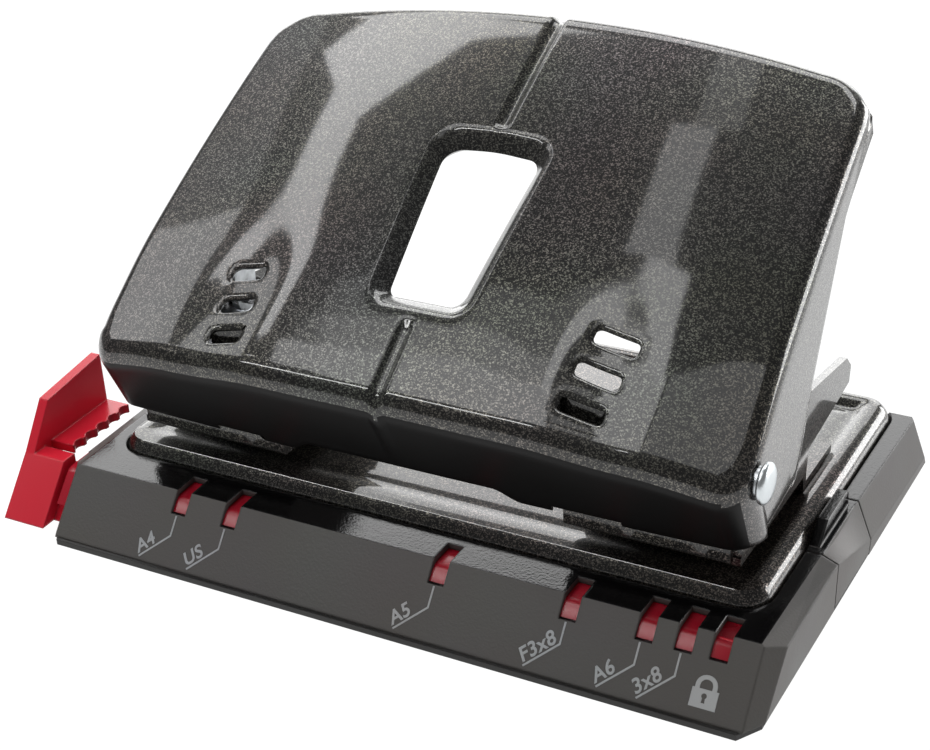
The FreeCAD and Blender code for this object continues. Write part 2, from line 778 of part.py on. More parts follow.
def lever_plan(name, inset):
    """The lever seen from above: tapering sides and a bowed rear edge, as a tall prism."""
    front = -tool_reach
    rear = s.lever_rear_corner - inset
    front_half = lever_half(front) - inset
    rear_half = lever_half(s.lever_rear_corner) - inset
    rise = s.lever_rear_middle - s.lever_rear_corner
    rear_radius = (s.lever_half_rear * s.lever_half_rear / rise + rise) / 2
    return prism(name, "XY", [(-front_half, front), (front_half, front),
                              (rear_half, rear, rear_radius), (-rear_half, rear)], 0, tool_height)


def lever_apron(name, inset):
    """Everything behind the leaning, slightly bowed front face."""
    lean = root(s.apron_lean * s.apron_lean + 1)
    half = s.lever_half_front + 6
    bow = s.apron_bow * (half / s.lever_half_front) * (half / s.lever_half_front)
    radius = (half * half / bow + bow) / 2
    edge = apron_y(0) + inset * lean + (bow - s.apron_bow)
    solid = document.addObject("Part::Extrusion", name)
    solid.Base = outline(name + "_outline", "XY", [
        (-half, edge, radius), (half, edge), (half, tool_height), (-half, tool_height)])
    solid.DirMode = "Custom"
    solid.Solid = True
    bind(solid, "Dir.x", 0.0)
    bind(solid, "Dir.y", -s.apron_lean)
    bind(solid, "Dir.z", 1.0)
    bind(solid, "LengthFwd", tool_height * lean)
    return solid


def apron_y(height):
    """y of the lever's front face at its corners."""
    return (s.pivot_setback - s.apron_ahead
            - s.apron_lean * (as_size(height) - s.pivot_height))


def lever_block(name, inset):
    """The solid inside the lever's skin, inset from it, folded softly round its whole rim."""
    walls = common(name + "_walls", [lever_plan(name + "_plan", inset),
                                     lever_apron(name + "_apron", inset)])
    front_corners = rounded(name + "_front_corners", walls, s.apron_corner - inset,
                            lambda middle, run: abs(run.z) > 40 and middle.y < 0)
    corners = rounded(name + "_rear_corners", front_corners, s.lever_corner_radius - inset,
                      lambda middle, run: abs(run.z) > 40 and middle.y > 0
                      and abs(middle.x) > s.lever_half_rear.number * 0.9)
    solid = common(name, [corners, lever_top(name + "_top", inset)])
    return rounded(name + "_folds", solid, s.lever_fold_radius - inset, is_fold)


def is_fold(middle, run):
    """The closed loop of edges round the lever's top."""
    across = middle.y - s.lever_bow_back.number
    upward = middle.z + s.lever_bow_below.number
    bow = math.hypot(across, upward)
    return bow > s.lever_bow_radius.number - s.lever_crown_drop.number - 3.0


def lever_underside():
    """What the pressing leaves open: all below the edges of its side walls."""
    half = s.lever_half_front + 5
    bottom = s.apron_bottom
    back, low = s.pivot_setback, s.pivot_height
    return prism("lever_below", "YZ", [
        (-tool_reach, 0), (tool_reach, 0), (tool_reach, low + s.trim_end_rise),
        (back + s.trim_end, low + s.trim_end_rise), (back + s.trim_hip, low + s.trim_hip_rise),
        (back + s.trim_knee, low + s.trim_knee_rise), (back + s.trim_calf, low + s.trim_calf_rise),
        (back + s.trim_heel, s.wall_bottom + s.trim_heel_rise), (back + s.trim_foot, s.wall_bottom),
        (apron_y(bottom) + 3.2, s.wall_bottom), (apron_y(bottom) + 2.6, bottom),
        (-tool_reach, bottom)], -half, half)


def lever():
    outer = lever_block("lever_outer", as_size(0))
    inner = lever_block("lever_inner", s.lever_sheet)
    window = prism("lever_window", "XY", [
        (-s.window_half_front + 1, s.window_front), (s.window_half_front - 1, s.window_front),
        (s.window_half_front, s.window_front + 1), (s.window_half_rear, s.window_rear - 2),
        (s.window_half_rear - 2.4, s.window_rear), (-s.window_half_rear + 2.4, s.window_rear),
        (-s.window_half_rear, s.window_rear - 2),
        (-s.window_half_front, s.window_front + 1)], s.apron_bottom, tool_height)
    slots = []
    for number in range(3):
        middle = s.slot_offset - s.slot_step * number
        near = s.slot_rear - s.slot_pitch * number
        for side, sign in (("left", -1), ("right", 1)):
            slots.append(block("lever_slot_%s_%d" % (side, number + 1),
                               (middle * sign - s.slot_length / 2, near - s.slot_width / 2,
                                s.pivot_height),
                               (middle * sign + s.slot_length / 2, near + s.slot_width / 2,
                                tool_height)))
    arch_top = s.apron_bottom + s.arch_rise
    arch = prism("apron_arch", "XZ", [
        (-s.arch_half, s.tray_height), (s.arch_half, s.tray_height), (s.arch_half, s.apron_bottom),
        (s.arch_top_half, arch_top), (-s.arch_top_half, arch_top), (-s.arch_half, s.apron_bottom)],
        -tool_reach, apron_y(s.apron_bottom) + 5)
    eyes = rod("lever_eyes", "x", (-tool_reach, s.pivot_setback, s.pivot_height),
               s.pivot_radius + s.fit_gap, tool_reach * 2)
    return cut("lever_cut", outer, [inner, lever_underside(), window, arch, eyes] + slots)


keep("lever", lever())


def pivot_washer():
    """A spacer inside the lever's side wall, trimmed where the front corner curves in."""
    inner_face = s.cheek_outer
    outer_face = lever_half(s.pivot_setback) - s.lever_sheet - 0.1
    ring = rod("washer_disc", "x", (inner_face, s.pivot_setback, s.pivot_height),
               s.pivot_washer_radius, outer_face - inner_face)
    bore = rod("washer_bore", "x", (inner_face - 1, s.pivot_setback, s.pivot_height),
               s.pivot_radius, outer_face - inner_face + 2)
    return cut("washer_cut", ring, [bore, finished["lever"]])


keep_pair("pivot_washer", pivot_washer())


# ---------------------------------------------------------------- drive yokes and pins
def drive_yoke():
    """An inverted U welded under the lever's top; its two eyes carry the drive pin."""
    leg_near = s.punch_radius + s.yoke_gap
    leg_far = leg_near + s.yoke_sheet
    yoke_reach = drive_z + s.arm_radius * 1.7
    legs = []
    for side, low, high in (("a", -leg_far, -leg_near), ("b", leg_near, leg_far)):
        arm = prism("yoke_leg_" + side, "YZ", [
            (drive_y - s.yoke_eye, drive_z), (drive_y + s.yoke_eye, drive_z),
            (drive_y + s.yoke_eye + s.yoke_flare, yoke_reach),
            (drive_y - s.yoke_eye - s.yoke_flare, yoke_reach)],
            half_spacing + low, half_spacing + high)
        eye = rod("yoke_eye_" + side, "x", (half_spacing + low, drive_y, drive_z),
                  s.yoke_eye, s.yoke_sheet)
        legs += [arm, eye]
    crown = cut("yoke_crown", block("yoke_crown_block",
                                    (half_spacing - leg_far - s.yoke_flare,
                                     drive_y - s.yoke_crown_half, drive_z + s.yoke_crown_rise),
                                    (half_spacing + leg_far + s.yoke_flare,
                                     drive_y + s.yoke_crown_half, yoke_reach)),
                [lever_top("yoke_crown_under", s.lever_sheet + s.yoke_sheet)])
    raw = fuse("yoke_raw", legs + [crown])
    seated = common("yoke_seated", [raw, lever_top("yoke_top", s.lever_sheet)])
    bore = rod("yoke_bore", "x", (half_spacing - leg_far - 1, drive_y, drive_z),
               s.drive_pin_radius, leg_far * 2 + 2)
    return cut("yoke_bored", seated, [bore])


keep_pair("drive_yoke", drive_yoke())
keep_pair("drive_pin", rod("drive_pin_rod", "x", (half_spacing - s.drive_pin_half, drive_y, drive_z),
                           s.drive_pin_radius, s.drive_pin_half * 2))


# ---------------------------------------------------------------- punches
seat_top = drive_z - s.seat_drop
seat_bottom = seat_top - s.seat_thickness


def punch_pin():
    """A round punch: hollow-ground tip, clip groove and a cross slot for the drive pin."""
    radius = s.punch_radius
    waist = radius - s.groove_depth
    top = drive_z + s.punch_head
    body = turned("punch_turned", "z", (half_spacing, punch_y, 0), [
        (s.punch_tip_rest + 1.0, 0), (s.punch_tip_rest, radius), (seat_bottom - 0.05, radius),
        (seat_bottom - 0.05, waist), (seat_top + 0.05, waist), (seat_top + 0.05, radius),
        (top - 0.5, radius), (top, radius - 0.5), (top, 0)])
    opening = s.drive_pin_radius + s.fit_gap
    half_long = opening + s.slot_play / 2
    slot = block("punch_slot", (half_spacing - radius - 1, punch_y - half_long, drive_z - opening),
                 (half_spacing + radius + 1, punch_y + half_long, drive_z + opening))
    return cut("punch_slotted", body, [slot])


def spring_seat():
    waist = s.punch_radius - s.groove_depth
    return turned("seat_turned", "z", (half_spacing, punch_y, 0), [
        (seat_bottom, waist), (seat_bottom, s.seat_radius), (seat_top, s.seat_radius),
        (seat_top, waist)])


def punch_bush():
    bore = s.punch_radius + s.punch_clearance
    sleeve = bore + s.bush_wall
    flange_top = web_top + s.bush_flange_thickness
    return turned("bush_turned", "z", (half_spacing, punch_y, 0), [
        (web_bottom, bore), (web_bottom, sleeve), (web_top, sleeve), (web_top, s.bush_flange),
        (flange_top, s.bush_flange), (flange_top, sleeve), (s.bush_top, sleeve),
        (s.bush_top, bore)])


def return_spring():
    """Round-wire compression spring between the bush flange and the seat."""
    wire = s.spring_wire.number
    low = (web_top + s.bush_flange_thickness).number + wire
    high = seat_bottom.number - wire
    radius = s.spring_radius.number
    pitch = (high - low) / s.spring_turns.number
    helix = Part.makeHelix(pitch, high - low, radius)
    tangent = Vector(0, 2 * math.pi * radius, pitch)
    corners = []
    side = Vector(1, 0, 0)
    up = tangent.cross(side).normalize()
    for number in range(7):
        angle = number * math.pi / 3
        corners.append(Vector(radius, 0, 0) + side * (wire * math.cos(angle))
                       + up * (wire * math.sin(angle)))
    section = Part.makePolygon(corners)
    coil = Part.Wire(helix).makePipeShell([section], True, True)
    spring = document.addObject("Part::Feature", "spring_coil")
    spring.Shape = coil
    spring.Placement = Placement(Vector(half_spacing.number, punch_y.number, low), Rotation())
    return spring


keep_pair("punch_pin", punch_pin())
keep_pair("spring_seat", spring_seat())
keep_pair("punch_bush", punch_bush())
keep_pair("return_spring", return_spring())


# ---------------------------------------------------------------- paper guide
def paper_guide():
    """A red moulding: stop plate and finger grip outside, rail and pointer inside the tray."""
    stop = -s.stop_parked
    outside = stop - s.stop_thickness
    top = s.tray_height - 0.2
    bottom = s.rail_bottom
    arm_end = -s.tray_widest_half - s.arm_gap
    plate = prism("guide_plate", "YZ", [
        (front_face(bottom, 0), bottom), (s.stop_step, bottom),
        (s.stop_step, s.tray_height - s.grip_thickness),
        (s.stop_rear, s.tray_height - s.grip_thickness), (s.stop_rear, s.stop_top_rear),
        (s.stop_corner, s.stop_top_front), (front_face(top, 0), top)], outside, stop)
    arm = prism("guide_arm", "YZ", [
        (front_face(bottom, 0), bottom), (-s.arm_rear, bottom), (-s.arm_rear, top),
        (front_face(top, 0), top)], outside, arm_end)
    grip = block("guide_grip", (stop - 0.5, s.grip_front, s.tray_height - s.grip_thickness),
                 (stop + s.grip_width, s.stop_rear, s.tray_height))
    scallops = []
    count = 5
    for number in range(count):
        share = (number + 0.5) / count
        place = s.grip_front + (s.stop_rear - s.grip_front) * share
        scallops.append(rod("scallop_%d" % (number + 1), "z",
                            (stop + s.grip_width + s.grip_scallop * 0.55, place,
                             s.tray_height - s.grip_thickness - 1), s.grip_scallop, 5))
    grip_cut = cut("guide_grip_cut", grip, scallops)
    roof = s.tray_height - s.rail_depth
    wall = s.rail_wall
    skin = s.rail_depth / front_lean
    rail = prism("guide_rail", "YZ", [
        (front_face(bottom, skin), bottom), (front_face(bottom, skin) + wall, bottom),
        (front_face(roof - wall, skin) + wall, roof - wall), (-s.channel_rear - 1.2, roof - wall),
        (-s.channel_rear - 1.2, roof), (front_face(roof, skin), roof)],
        stop, s.pointer_parked + s.notch_width / 2 - 0.2)
    shell = s.channel_shell + s.pointer_gap
    crest = s.tray_height - shell - s.pointer_gap
    pointer = prism("guide_pointer", "YZ", [
        (front_face(roof - 2, shell), roof - 2), (front_face(roof - 2, skin) + 1, roof - 2),
        (-s.notch_rear - 0.3, roof - 0.5), (-s.notch_rear - 0.3, crest),
        (front_face(crest, shell), crest)],
        s.pointer_parked - s.notch_width / 2 + 0.2, s.pointer_parked + s.notch_width / 2 - 0.2)
    return fuse("guide_fused", [plate, arm, grip_cut, rail, pointer])


keep("paper_guide", paper_guide())


# ---------------------------------------------------------------- checks and export
document.recompute()
for thing in document.Objects:
    if "Invalid" in thing.State or "Error" in thing.State:
        raise RuntimeError("%s failed: %s" % (thing.Name, thing.State))
os.makedirs("parts", exist_ok=True)
for node, thing in finished.items():
    shape = thing.Shape
    if shape.isNull() or not shape.isValid() or not shape.Solids:
        raise RuntimeError("%s has no valid solid" % node)
    if thing.Label != node:
        raise RuntimeError("%s has the label %s" % (node, thing.Label))
for node, thing in finished.items():
    thing.Shape.exportStep("parts/%s.step" % node)
    print("%-22s %2d solid(s) %9.1f mm3" % (node, len(thing.Shape.Solids), thing.Shape.Volume))
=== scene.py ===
# %% [markdown]
# # A two-hole desk punch
# This lesson dresses a packed punch: a hand lever with a window, a pressed base pan, two steel
# towers, a plastic tray and a red paper guide. The frame comes first. It holds every CAD part
# at its true place, in metres, and each new piece rides on one of its bodies.

import json
import math

import bpy
from mathutils import Matrix, Vector


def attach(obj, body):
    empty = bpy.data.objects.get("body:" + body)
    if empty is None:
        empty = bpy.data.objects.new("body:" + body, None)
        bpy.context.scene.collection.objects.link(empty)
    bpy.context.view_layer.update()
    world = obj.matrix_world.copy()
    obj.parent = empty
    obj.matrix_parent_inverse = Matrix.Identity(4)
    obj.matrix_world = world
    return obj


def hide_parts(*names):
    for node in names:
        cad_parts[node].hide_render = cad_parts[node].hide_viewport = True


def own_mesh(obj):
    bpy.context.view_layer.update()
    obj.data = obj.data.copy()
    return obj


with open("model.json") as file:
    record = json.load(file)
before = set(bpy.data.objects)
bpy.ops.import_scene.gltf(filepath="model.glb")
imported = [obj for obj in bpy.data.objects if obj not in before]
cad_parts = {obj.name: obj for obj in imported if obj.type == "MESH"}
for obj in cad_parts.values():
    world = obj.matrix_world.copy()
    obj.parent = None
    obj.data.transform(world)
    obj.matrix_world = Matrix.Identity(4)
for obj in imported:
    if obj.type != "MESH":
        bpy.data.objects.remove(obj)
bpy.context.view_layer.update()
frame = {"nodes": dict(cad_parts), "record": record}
MM = 0.001

# %% [markdown]
# ## Working by hand in code
# An operator acts on whatever is selected, so each step first deselects everything and then
# picks edges or faces by where they are. These helpers keep that short, and the last of them
# does the same closing steps for every piece: its place goes into its mesh, its edges are
# shaded by angle, and it gets its name, its finish and the body that it rides on.

# %% Selecting and editing
def only(thing):
    """Deselects all, then selects one object and makes it active."""
    if bpy.context.object and bpy.context.object.mode != "OBJECT":
        bpy.ops.object.mode_set(mode="OBJECT")
    bpy.ops.object.select_all(action="DESELECT")
    thing.select_set(True)
    bpy.context.view_layer.objects.active = thing


def pick_faces(piece, test):
    """In edit mode, selects the faces whose middle (in mm) and normal pass the test."""
    only(piece)
    bpy.ops.object.mode_set(mode="EDIT")
    bpy.ops.mesh.select_mode(type="FACE")
    bpy.ops.mesh.select_all(action="DESELECT")
    bpy.ops.object.mode_set(mode="OBJECT")
    for face in piece.data.polygons:
        face.select = bool(test(face.center / MM, face.normal))
    bpy.ops.object.mode_set(mode="EDIT")


def apply_all(piece):
    """Applies every modifier of a piece, from the top of its list down."""
    only(piece)
    for modifier in list(piece.modifiers):
        bpy.ops.object.modifier_apply(modifier=modifier.name)


def settle(piece, name, body, material, replaced=(), angle=35):
    """Names a finished piece, puts its place into its mesh and hands it to its body."""
    only(piece)
    bpy.ops.object.transform_apply(location=True, rotation=True, scale=True)
    bpy.ops.object.shade_smooth_by_angle(angle=math.radians(angle))
    piece.name = name
    piece.data.name = name
    piece.data.materials.clear()
    piece.data.materials.append(material)
    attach(piece, body)
    if replaced:
        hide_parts(*replaced)
    print(name, "faces:", len(piece.data.polygons), "on", body)
    return piece


print("helpers: only, pick_faces, apply_all, settle")

# %% [markdown]
# ## Camera, floor and light
# The camera looks down from the right, through a short telephoto lens. The set is a product
# table: a white acrylic sheet that is lit from below, so it glows and casts no hard shadow,
# and a ceiling of long soft boxes. One sun lamp would be quicker, but gloss lacquer is a
# mirror: each box is placed for the shape that its image takes in the lever, with dark gaps
# left between the boxes.

# %% Camera
def camera_at(place, azimuth, elevation, roll, lens):
    """A camera at a place in mm, looking down its own azimuth and elevation."""
    data = bpy.data.cameras.new("camera")
    data.lens = lens
    data.sensor_width = 36.0
    data.clip_start, data.clip_end = 0.01, 5.0
    camera = bpy.data.objects.new("camera", data)
    bpy.context.scene.collection.objects.link(camera)
    a, e = math.radians(azimuth), math.radians(elevation)
    back = Vector((math.sin(a) * math.cos(e), -math.cos(a) * math.cos(e), math.sin(e)))
    turn = (-back).to_track_quat("-Z", "Y").to_matrix()
    turn = turn @ Matrix.Rotation(math.radians(roll), 3, "Z")
    camera.matrix_world = Matrix.Translation(Vector(place) * MM) @ turn.to_4x4()
    bpy.context.scene.camera = camera
    return camera


camera = camera_at((120.81, -214.57, 156.35), 30.119, 28.656, -3.474, 73.26)
print("camera at", [round(v, 4) for v in camera.location])

# %% Floor
bpy.ops.object.select_all(action="DESELECT")
bpy.ops.mesh.primitive_plane_add(size=6.0, location=(0, 0, -0.02 * MM))
floor = bpy.context.object
floor.name = "floor"
print("floor:", [round(side, 1) for side in floor.dimensions], "m")

# %% Lights
def soft_box(name, place, target, size, strength):
    """A rectangular soft box in mm, aimed at a target, with its brightness as radiance."""
    data = bpy.data.lights.new(name, "AREA")
    data.shape = "RECTANGLE"
    data.size, data.size_y = size[0] * MM, size[1] * MM
    data.energy = strength * math.pi * (size[0] * size[1] * MM * MM)
    light = bpy.data.objects.new(name, data)
    bpy.context.scene.collection.objects.link(light)
    aim = (Vector(target) - Vector(place)) * MM
    light.rotation_mode = "QUATERNION"
    light.rotation_quaternion = aim.to_track_quat("-Z", "Y")
    light.location = Vector(place) * MM
    return light


def ceiling_box(name, middle, size, turn, strength, height=700):
    """A soft box that faces straight down from the ceiling, turned by some degrees."""
    light = soft_box(name, (*middle, height), (*middle, 0), size, strength)
    light.rotation_mode = "XYZ"
    light.rotation_euler = (0, 0, math.radians(turn))


CEILING = [
    # name, middle x and y, size, turn in degrees, brightness
    ("far_left_box", (-952, -80), (600, 240), 0, 2.6),
    ("far_left_dim_box", (-952, 230), (600, 380), 0, 0.59),
    ("side_box", (-553, 110), (66, 440), -6, 5.3),
    ("side_front_box", (-560, -90), (60, 60), 0, 2.89),
    ("shoulder_box", (-500, 258), (200, 160), 38, 5.3),
    ("rear_box", (-180, 405), (780, 350), 0, 4.7),
    ("streak_rear_box", (-110, 180), (44, 100), 6, 0.85),
    ("streak_middle_box", (-122, 55), (44, 150), 3, 2.04),
    ("streak_front_box", (-108, -85), (44, 130), -8, 3.91),
    ("front_dim_box", (-290, -84), (340, 44), 0, 0.77),
    ("front_soft_box", (-290, -124), (340, 36), 0, 1.87),
    ("front_box", (-280, -260), (400, 236), 0, 3.06),
    ("front_right_box", (60, -230), (260, 180), 0, 1.10),
    ("rim_box", (-478, -545), (640, 64), 0, 14.0)]
for box_name, middle, size, turn, strength in CEILING:
    ceiling_box(box_name, middle, size, turn, strength)
soft_box("right_box", (820, 980, 190), (30, 0, 15), (1200, 500), 7.5)
soft_box("backdrop_box", (-450, 1000, 420), (0, 0, 40), (1400, 700), 3.2)
print("soft boxes:", len(CEILING) + 2)

# %% Room light
world = bpy.data.worlds.new("studio")
world.use_nodes = True
room = world.node_tree.nodes["Background"]
room.inputs["Color"].default_value = (1.0, 1.0, 1.0, 1.0)
room.inputs["Strength"].default_value = 0.18
bpy.context.scene.world = world
bpy.context.scene.view_settings.view_transform = "Standard"
print("room light:", room.inputs["Strength"].default_value)

# %% [markdown]
# ## Finishes
# Each finish starts from its real name and making. One function turns a hex colour into the
# linear values a shader works in, and one adds a node with its settings and links.

# %% Colour and node helpers
def linear(code):
    """An sRGB hex colour as linear red, green, blue and alpha."""
    values = [int(code[index:index + 2], 16) / 255 for index in (1, 3, 5)]
    return tuple(v / 12.92 if v <= 0.04045 else ((v + 0.055) / 1.055) ** 2.4
                 for v in values) + (1.0,)


def add(material, kind, settings=None, **links):
    """Adds a node; settings go to its properties, links to its sockets by name or number.
    A link is a plain value, or the (node, socket) that feeds it."""
    tree = material.node_tree
    node = tree.nodes.new("ShaderNode" + kind)
    for name, value in (settings or {}).items():
        setattr(node, name, value)
    for name, value in links.items():
        key = int(name[1:]) if name[0] == "_" else name.replace("_", " ")
        socket = node.inputs[key]
        if isinstance(value, tuple) and hasattr(value[0], "outputs"):
            tree.links.new(value[0].outputs[value[1]], socket)
        else:
            socket.default_value = value
    return node


def finish_named(name):
    """A new material with only its output, ready for nodes."""
    material = bpy.data.materials.new(name)
    material.use_nodes = True
    tree = material.node_tree
    for node in list(tree.nodes):
        if node.type != "OUTPUT_MATERIAL":
            tree.nodes.remove(node)
    return material


def output(material, shader):
    """Links a shader to the material's output."""
    tree = material.node_tree
    sink = next(node for node in tree.nodes if node.type == "OUTPUT_MATERIAL")
    tree.links.new(shader.outputs[0], sink.inputs["Surface"])
    return material


def ramp(material, source, stops):
    """A colour ramp from a (node, socket), with stops of (place, hex colour)."""
    node = add(material, "ValToRGB", Fac=source)
    band = node.color_ramp
    while len(band.elements) < len(stops):
        band.elements.new(0.5)
    for element, (place, code) in zip(band.elements, stops):
        element.position = place
        element.color = linear(code)
    return node


# %% [markdown]
# ### Metallic flake lacquer on pressed steel
# The lever and the pan are steel pressings, sprayed with a warm dark-grey base coat full of
# aluminium flakes and then with clear lacquer. To the eye that is a fine sparkle under a deep
# gloss. Real flakes are about 0.05 mm across. In a render of this size they would vanish, so
# they are drawn 0.16 mm across. Noise would only make soft clouds, so Voronoi cells are used:
# each is one flake, and its random colour sets its brightness, its metal and its tilt.

# %% Flake lacquer
def flake_lacquer(name, dark, light, flake=0.16, coat=0.05, rough=0.3):
    """Flakes of one size (mm) in a base coat, between two colours, under clear lacquer."""
    material = finish_named(name)
    where = add(material, "TexCoord")
    cells = add(material, "TexVoronoi", Vector=(where, "Object"), Scale=1 / (flake * MM))
    split = add(material, "SeparateColor", Color=(cells, "Color"))
    # About four cells in ten hold a flake. The others show the dark base coat.
    flakes = add(material, "MapRange", Value=(split, 0), _1=0.62, _2=1.0)
    colour = add(material, "Mix", {"data_type": "RGBA"},
                 _0=(flakes, 0), _6=linear(dark), _7=linear(light))
    # A slow drift of the coat's thickness, about 30 mm across, keeps the panel from looking even.
    drift = add(material, "TexNoise", Vector=(where, "Object"), Scale=1 / (30 * MM), Detail=2.0)
    shade = add(material, "Mix", {"data_type": "RGBA", "blend_type": "SOFT_LIGHT"},
                _0=0.25, _6=(colour, 2), _7=(drift, "Color"))
    tilt = add(material, "VectorMath", {"operation": "SUBTRACT"},
               _0=(cells, "Color"), _1=(0.5, 0.5, 0.5))
    small = add(material, "VectorMath", {"operation": "SCALE"}, _0=(tilt, 0), Scale=0.1)
    here = add(material, "NewGeometry")
    leaning = add(material, "VectorMath", {"operation": "ADD"}, _0=(here, "Normal"), _1=(small, 0))
    unit = add(material, "VectorMath", {"operation": "NORMALIZE"}, _0=(leaning, 0))
    # Sprayed lacquer has a faint orange peel: waves about 2 mm long and a few microns high.
    peel = add(material, "TexNoise", Vector=(where, "Object"), Scale=1 / (2.2 * MM), Detail=1.0)
    wave = add(material, "Bump", Strength=0.05, Distance=0.00004, Height=(peel, 0))
    shader = add(material, "BsdfPrincipled", Metallic=(flakes, 0), Roughness=rough, IOR=1.5,
                 Specular_IOR_Level=0.12, Coat_Weight=1.0, Coat_Roughness=coat, Coat_IOR=1.5,
                 Base_Color=(shade, 2), Normal=(unit, 0), Coat_Normal=(wave, 0))
    return output(material, shader)


lever_lacquer = flake_lacquer("lever_flake_lacquer", "#100f0e", "#77736c")
pan_lacquer = flake_lacquer("pan_flake_lacquer", "#100f0e", "#77736c")
print("lacquers:", lever_lacquer.name, pan_lacquer.name)

# %% [markdown]
# ### Moulded plastics
# The tray is injection-moulded ABS with a spark-eroded grain of about 0.15 mm on its faces,
# drawn at 0.35 mm so that it shows. The guide is red ABS from a polished mould, so it is
# smooth with a soft gloss. The bottom cover is black polypropylene with a matte grain, and the
# near-black band on the lever's apron, painted shade on its down-facing faces, is close to it
# in look. They differ only in a few numbers, so one function makes them all. Its Bevel node
# rounds the edges in the shading, because no mould leaves them sharp.

# %% Moulded ABS
TRAY_TOP = 9.6                                  # height of the tray in mm


def moulded(name, code, grain, rough, bump, speck=0.08, edge=0.15, polished_ledge_shade=None, shine=0.5):
    """A plastic of one hex colour, with the size of its grain and its edges' radius in mm."""
    material = finish_named(name)
    where = add(material, "TexCoord")
    soft_edge = add(material, "Bevel", {"samples": 4}, Radius=edge * MM)
    noise = add(material, "TexNoise", Vector=(where, "Object"), Scale=1 / (grain * MM), Detail=2.0)
    wave = add(material, "Bump", Strength=bump, Distance=0.00005, Height=(noise, 0),
               Normal=(soft_edge, 0))
    cloud = add(material, "TexNoise", Vector=(where, "Object"), Scale=1 / (18 * MM), Detail=3.0)
    tint = add(material, "Mix", {"data_type": "RGBA", "blend_type": "OVERLAY"},
               _0=speck, _6=linear(code), _7=(cloud, "Color"))
    sheen = add(material, "MapRange", Value=(cloud, 0),
                _1=0.3, _2=0.7, _3=rough - 0.04, _4=rough + 0.05)
    if polished_ledge_shade:
        # The ledge round the pan is polished, and its near-black colour is painted shade: it
        # stands for the dark reflection of the lever above it. It covers each face that looks
        # straight up, and all that stands above the tray's top.
        here = add(material, "NewGeometry")
        facing = add(material, "SeparateXYZ", Vector=(here, "True Normal"))
        flat = add(material, "MapRange", Value=(facing, 2), _1=0.9, _2=0.98)
        spot = add(material, "SeparateXYZ", Vector=(where, "Object"))
        above = add(material, "MapRange", Value=(spot, 2),
                    _1=(TRAY_TOP + 0.05) * MM, _2=(TRAY_TOP + 0.15) * MM)
        level = add(material, "Math", {"operation": "MAXIMUM"}, _0=(flat, 0), _1=(above, 0))
        tint = add(material, "Mix", {"data_type": "RGBA"},
                   _0=(level, 0), _6=(tint, 2), _7=linear(polished_ledge_shade))
        sheen = add(material, "MapRange", Value=(level, 0), _3=(sheen, 0), _4=0.1)
    shader = add(material, "BsdfPrincipled", IOR=1.5, Specular_IOR_Level=shine,
                 Base_Color=(tint, 2), Roughness=(sheen, 0), Normal=(wave, 0))
    return output(material, shader)


# Near-black, weakly glossy finish that paints shade on the apron's down-facing faces.
apron_painted_shade = moulded("apron_painted_shade_black", "#050404", 0.5, 0.35, 0.1, shine=0.18)
# The near-black is painted shade on the tray's polished ledge, for the lever's dark reflection.
tray_plastic = moulded("tray_grained_abs", "#4a4745", 0.35, 0.46, 0.4, edge=0.45,
                       polished_ledge_shade="#0b0a0b")
cover_plastic = moulded("cover_matte_polypropylene", "#1d1c1b", 0.4, 0.55, 0.25)
guide_plastic = moulded("guide_red_abs", "#d01f33", 3.0, 0.24, 0.05, speck=0.05, edge=0.35)
# The rail is the guide's red ABS drawn darker: painted shade for the shadow in the notches over
# it.
rail_painted_shade_red = moulded("rail_red_abs_painted_shade", "#a51428", 3.0, 0.24, 0.05, speck=0.05)
print("plastics:", tray_plastic.name, cover_plastic.name, guide_plastic.name, rail_painted_shade_red.name)

# %% [markdown]
# ### Steel parts
# The rivets, the washers and the yokes are zinc plated: a pale blue-white coat
# with a soft crystalline mottle. The punches are ground and hardened tool steel, whose fine
# lines run round them, and the springs are drawn wire with a brighter, smoother skin. All are
# bare metal to the eye, so they share one function, and the noise is stretched for the lines.

# %% Zinc, tool steel and wire
def steel(name, dark, light, rough, spread, stretch=(1, 1, 1), grain=1.5, bump=0.08):
    """Bare metal between two hex colours; its polish varies by the spread on the same noise."""
    material = finish_named(name)
    where = add(material, "TexCoord")
    place = add(material, "Mapping", Vector=(where, "Object"), Scale=stretch)
    noise = add(material, "TexNoise", Vector=(place, 0), Scale=1 / (grain * MM), Detail=4.0)
    colour = ramp(material, (noise, 0), [(0.3, dark), (0.7, light)])
    polish = add(material, "MapRange", Value=(noise, 0),
                 _1=0.3, _2=0.7, _3=rough - spread, _4=rough + spread)
    soft_edge = add(material, "Bevel", {"samples": 4}, Radius=0.12 * MM)
    wave = add(material, "Bump", Strength=bump, Distance=0.00003, Height=(noise, 0),
               Normal=(soft_edge, 0))
    shader = add(material, "BsdfPrincipled", Metallic=1.0, Base_Color=(colour, "Color"),
                 Roughness=(polish, 0), Normal=(wave, 0))
    return output(material, shader)


head_zinc = steel("polished_zinc_head", "#c9cfd2", "#dfe4e6", 0.3, 0.02, grain=4.0, bump=0.01)
zinc = steel("zinc_plated_steel", "#a9adb0", "#d3d7da", 0.32, 0.08)
punch_steel = steel("ground_tool_steel", "#7f8083", "#b4b5b8", 0.22, 0.06, (1, 1, 12))
wire_steel = steel("drawn_spring_wire", "#9a9b9e", "#c4c5c8", 0.2, 0.04)
print("metals:", head_zinc.name, zinc.name, punch_steel.name, wire_steel.name)

# %% [markdown]
# ### Floor
# A white acrylic light table: opal plastic with a fine matte face, lit evenly from below. A
# white card would be simpler, but under these boxes it would be far too bright and light the
# lever's walls from below, so the sheet's own colour is dark and its glow makes the white.

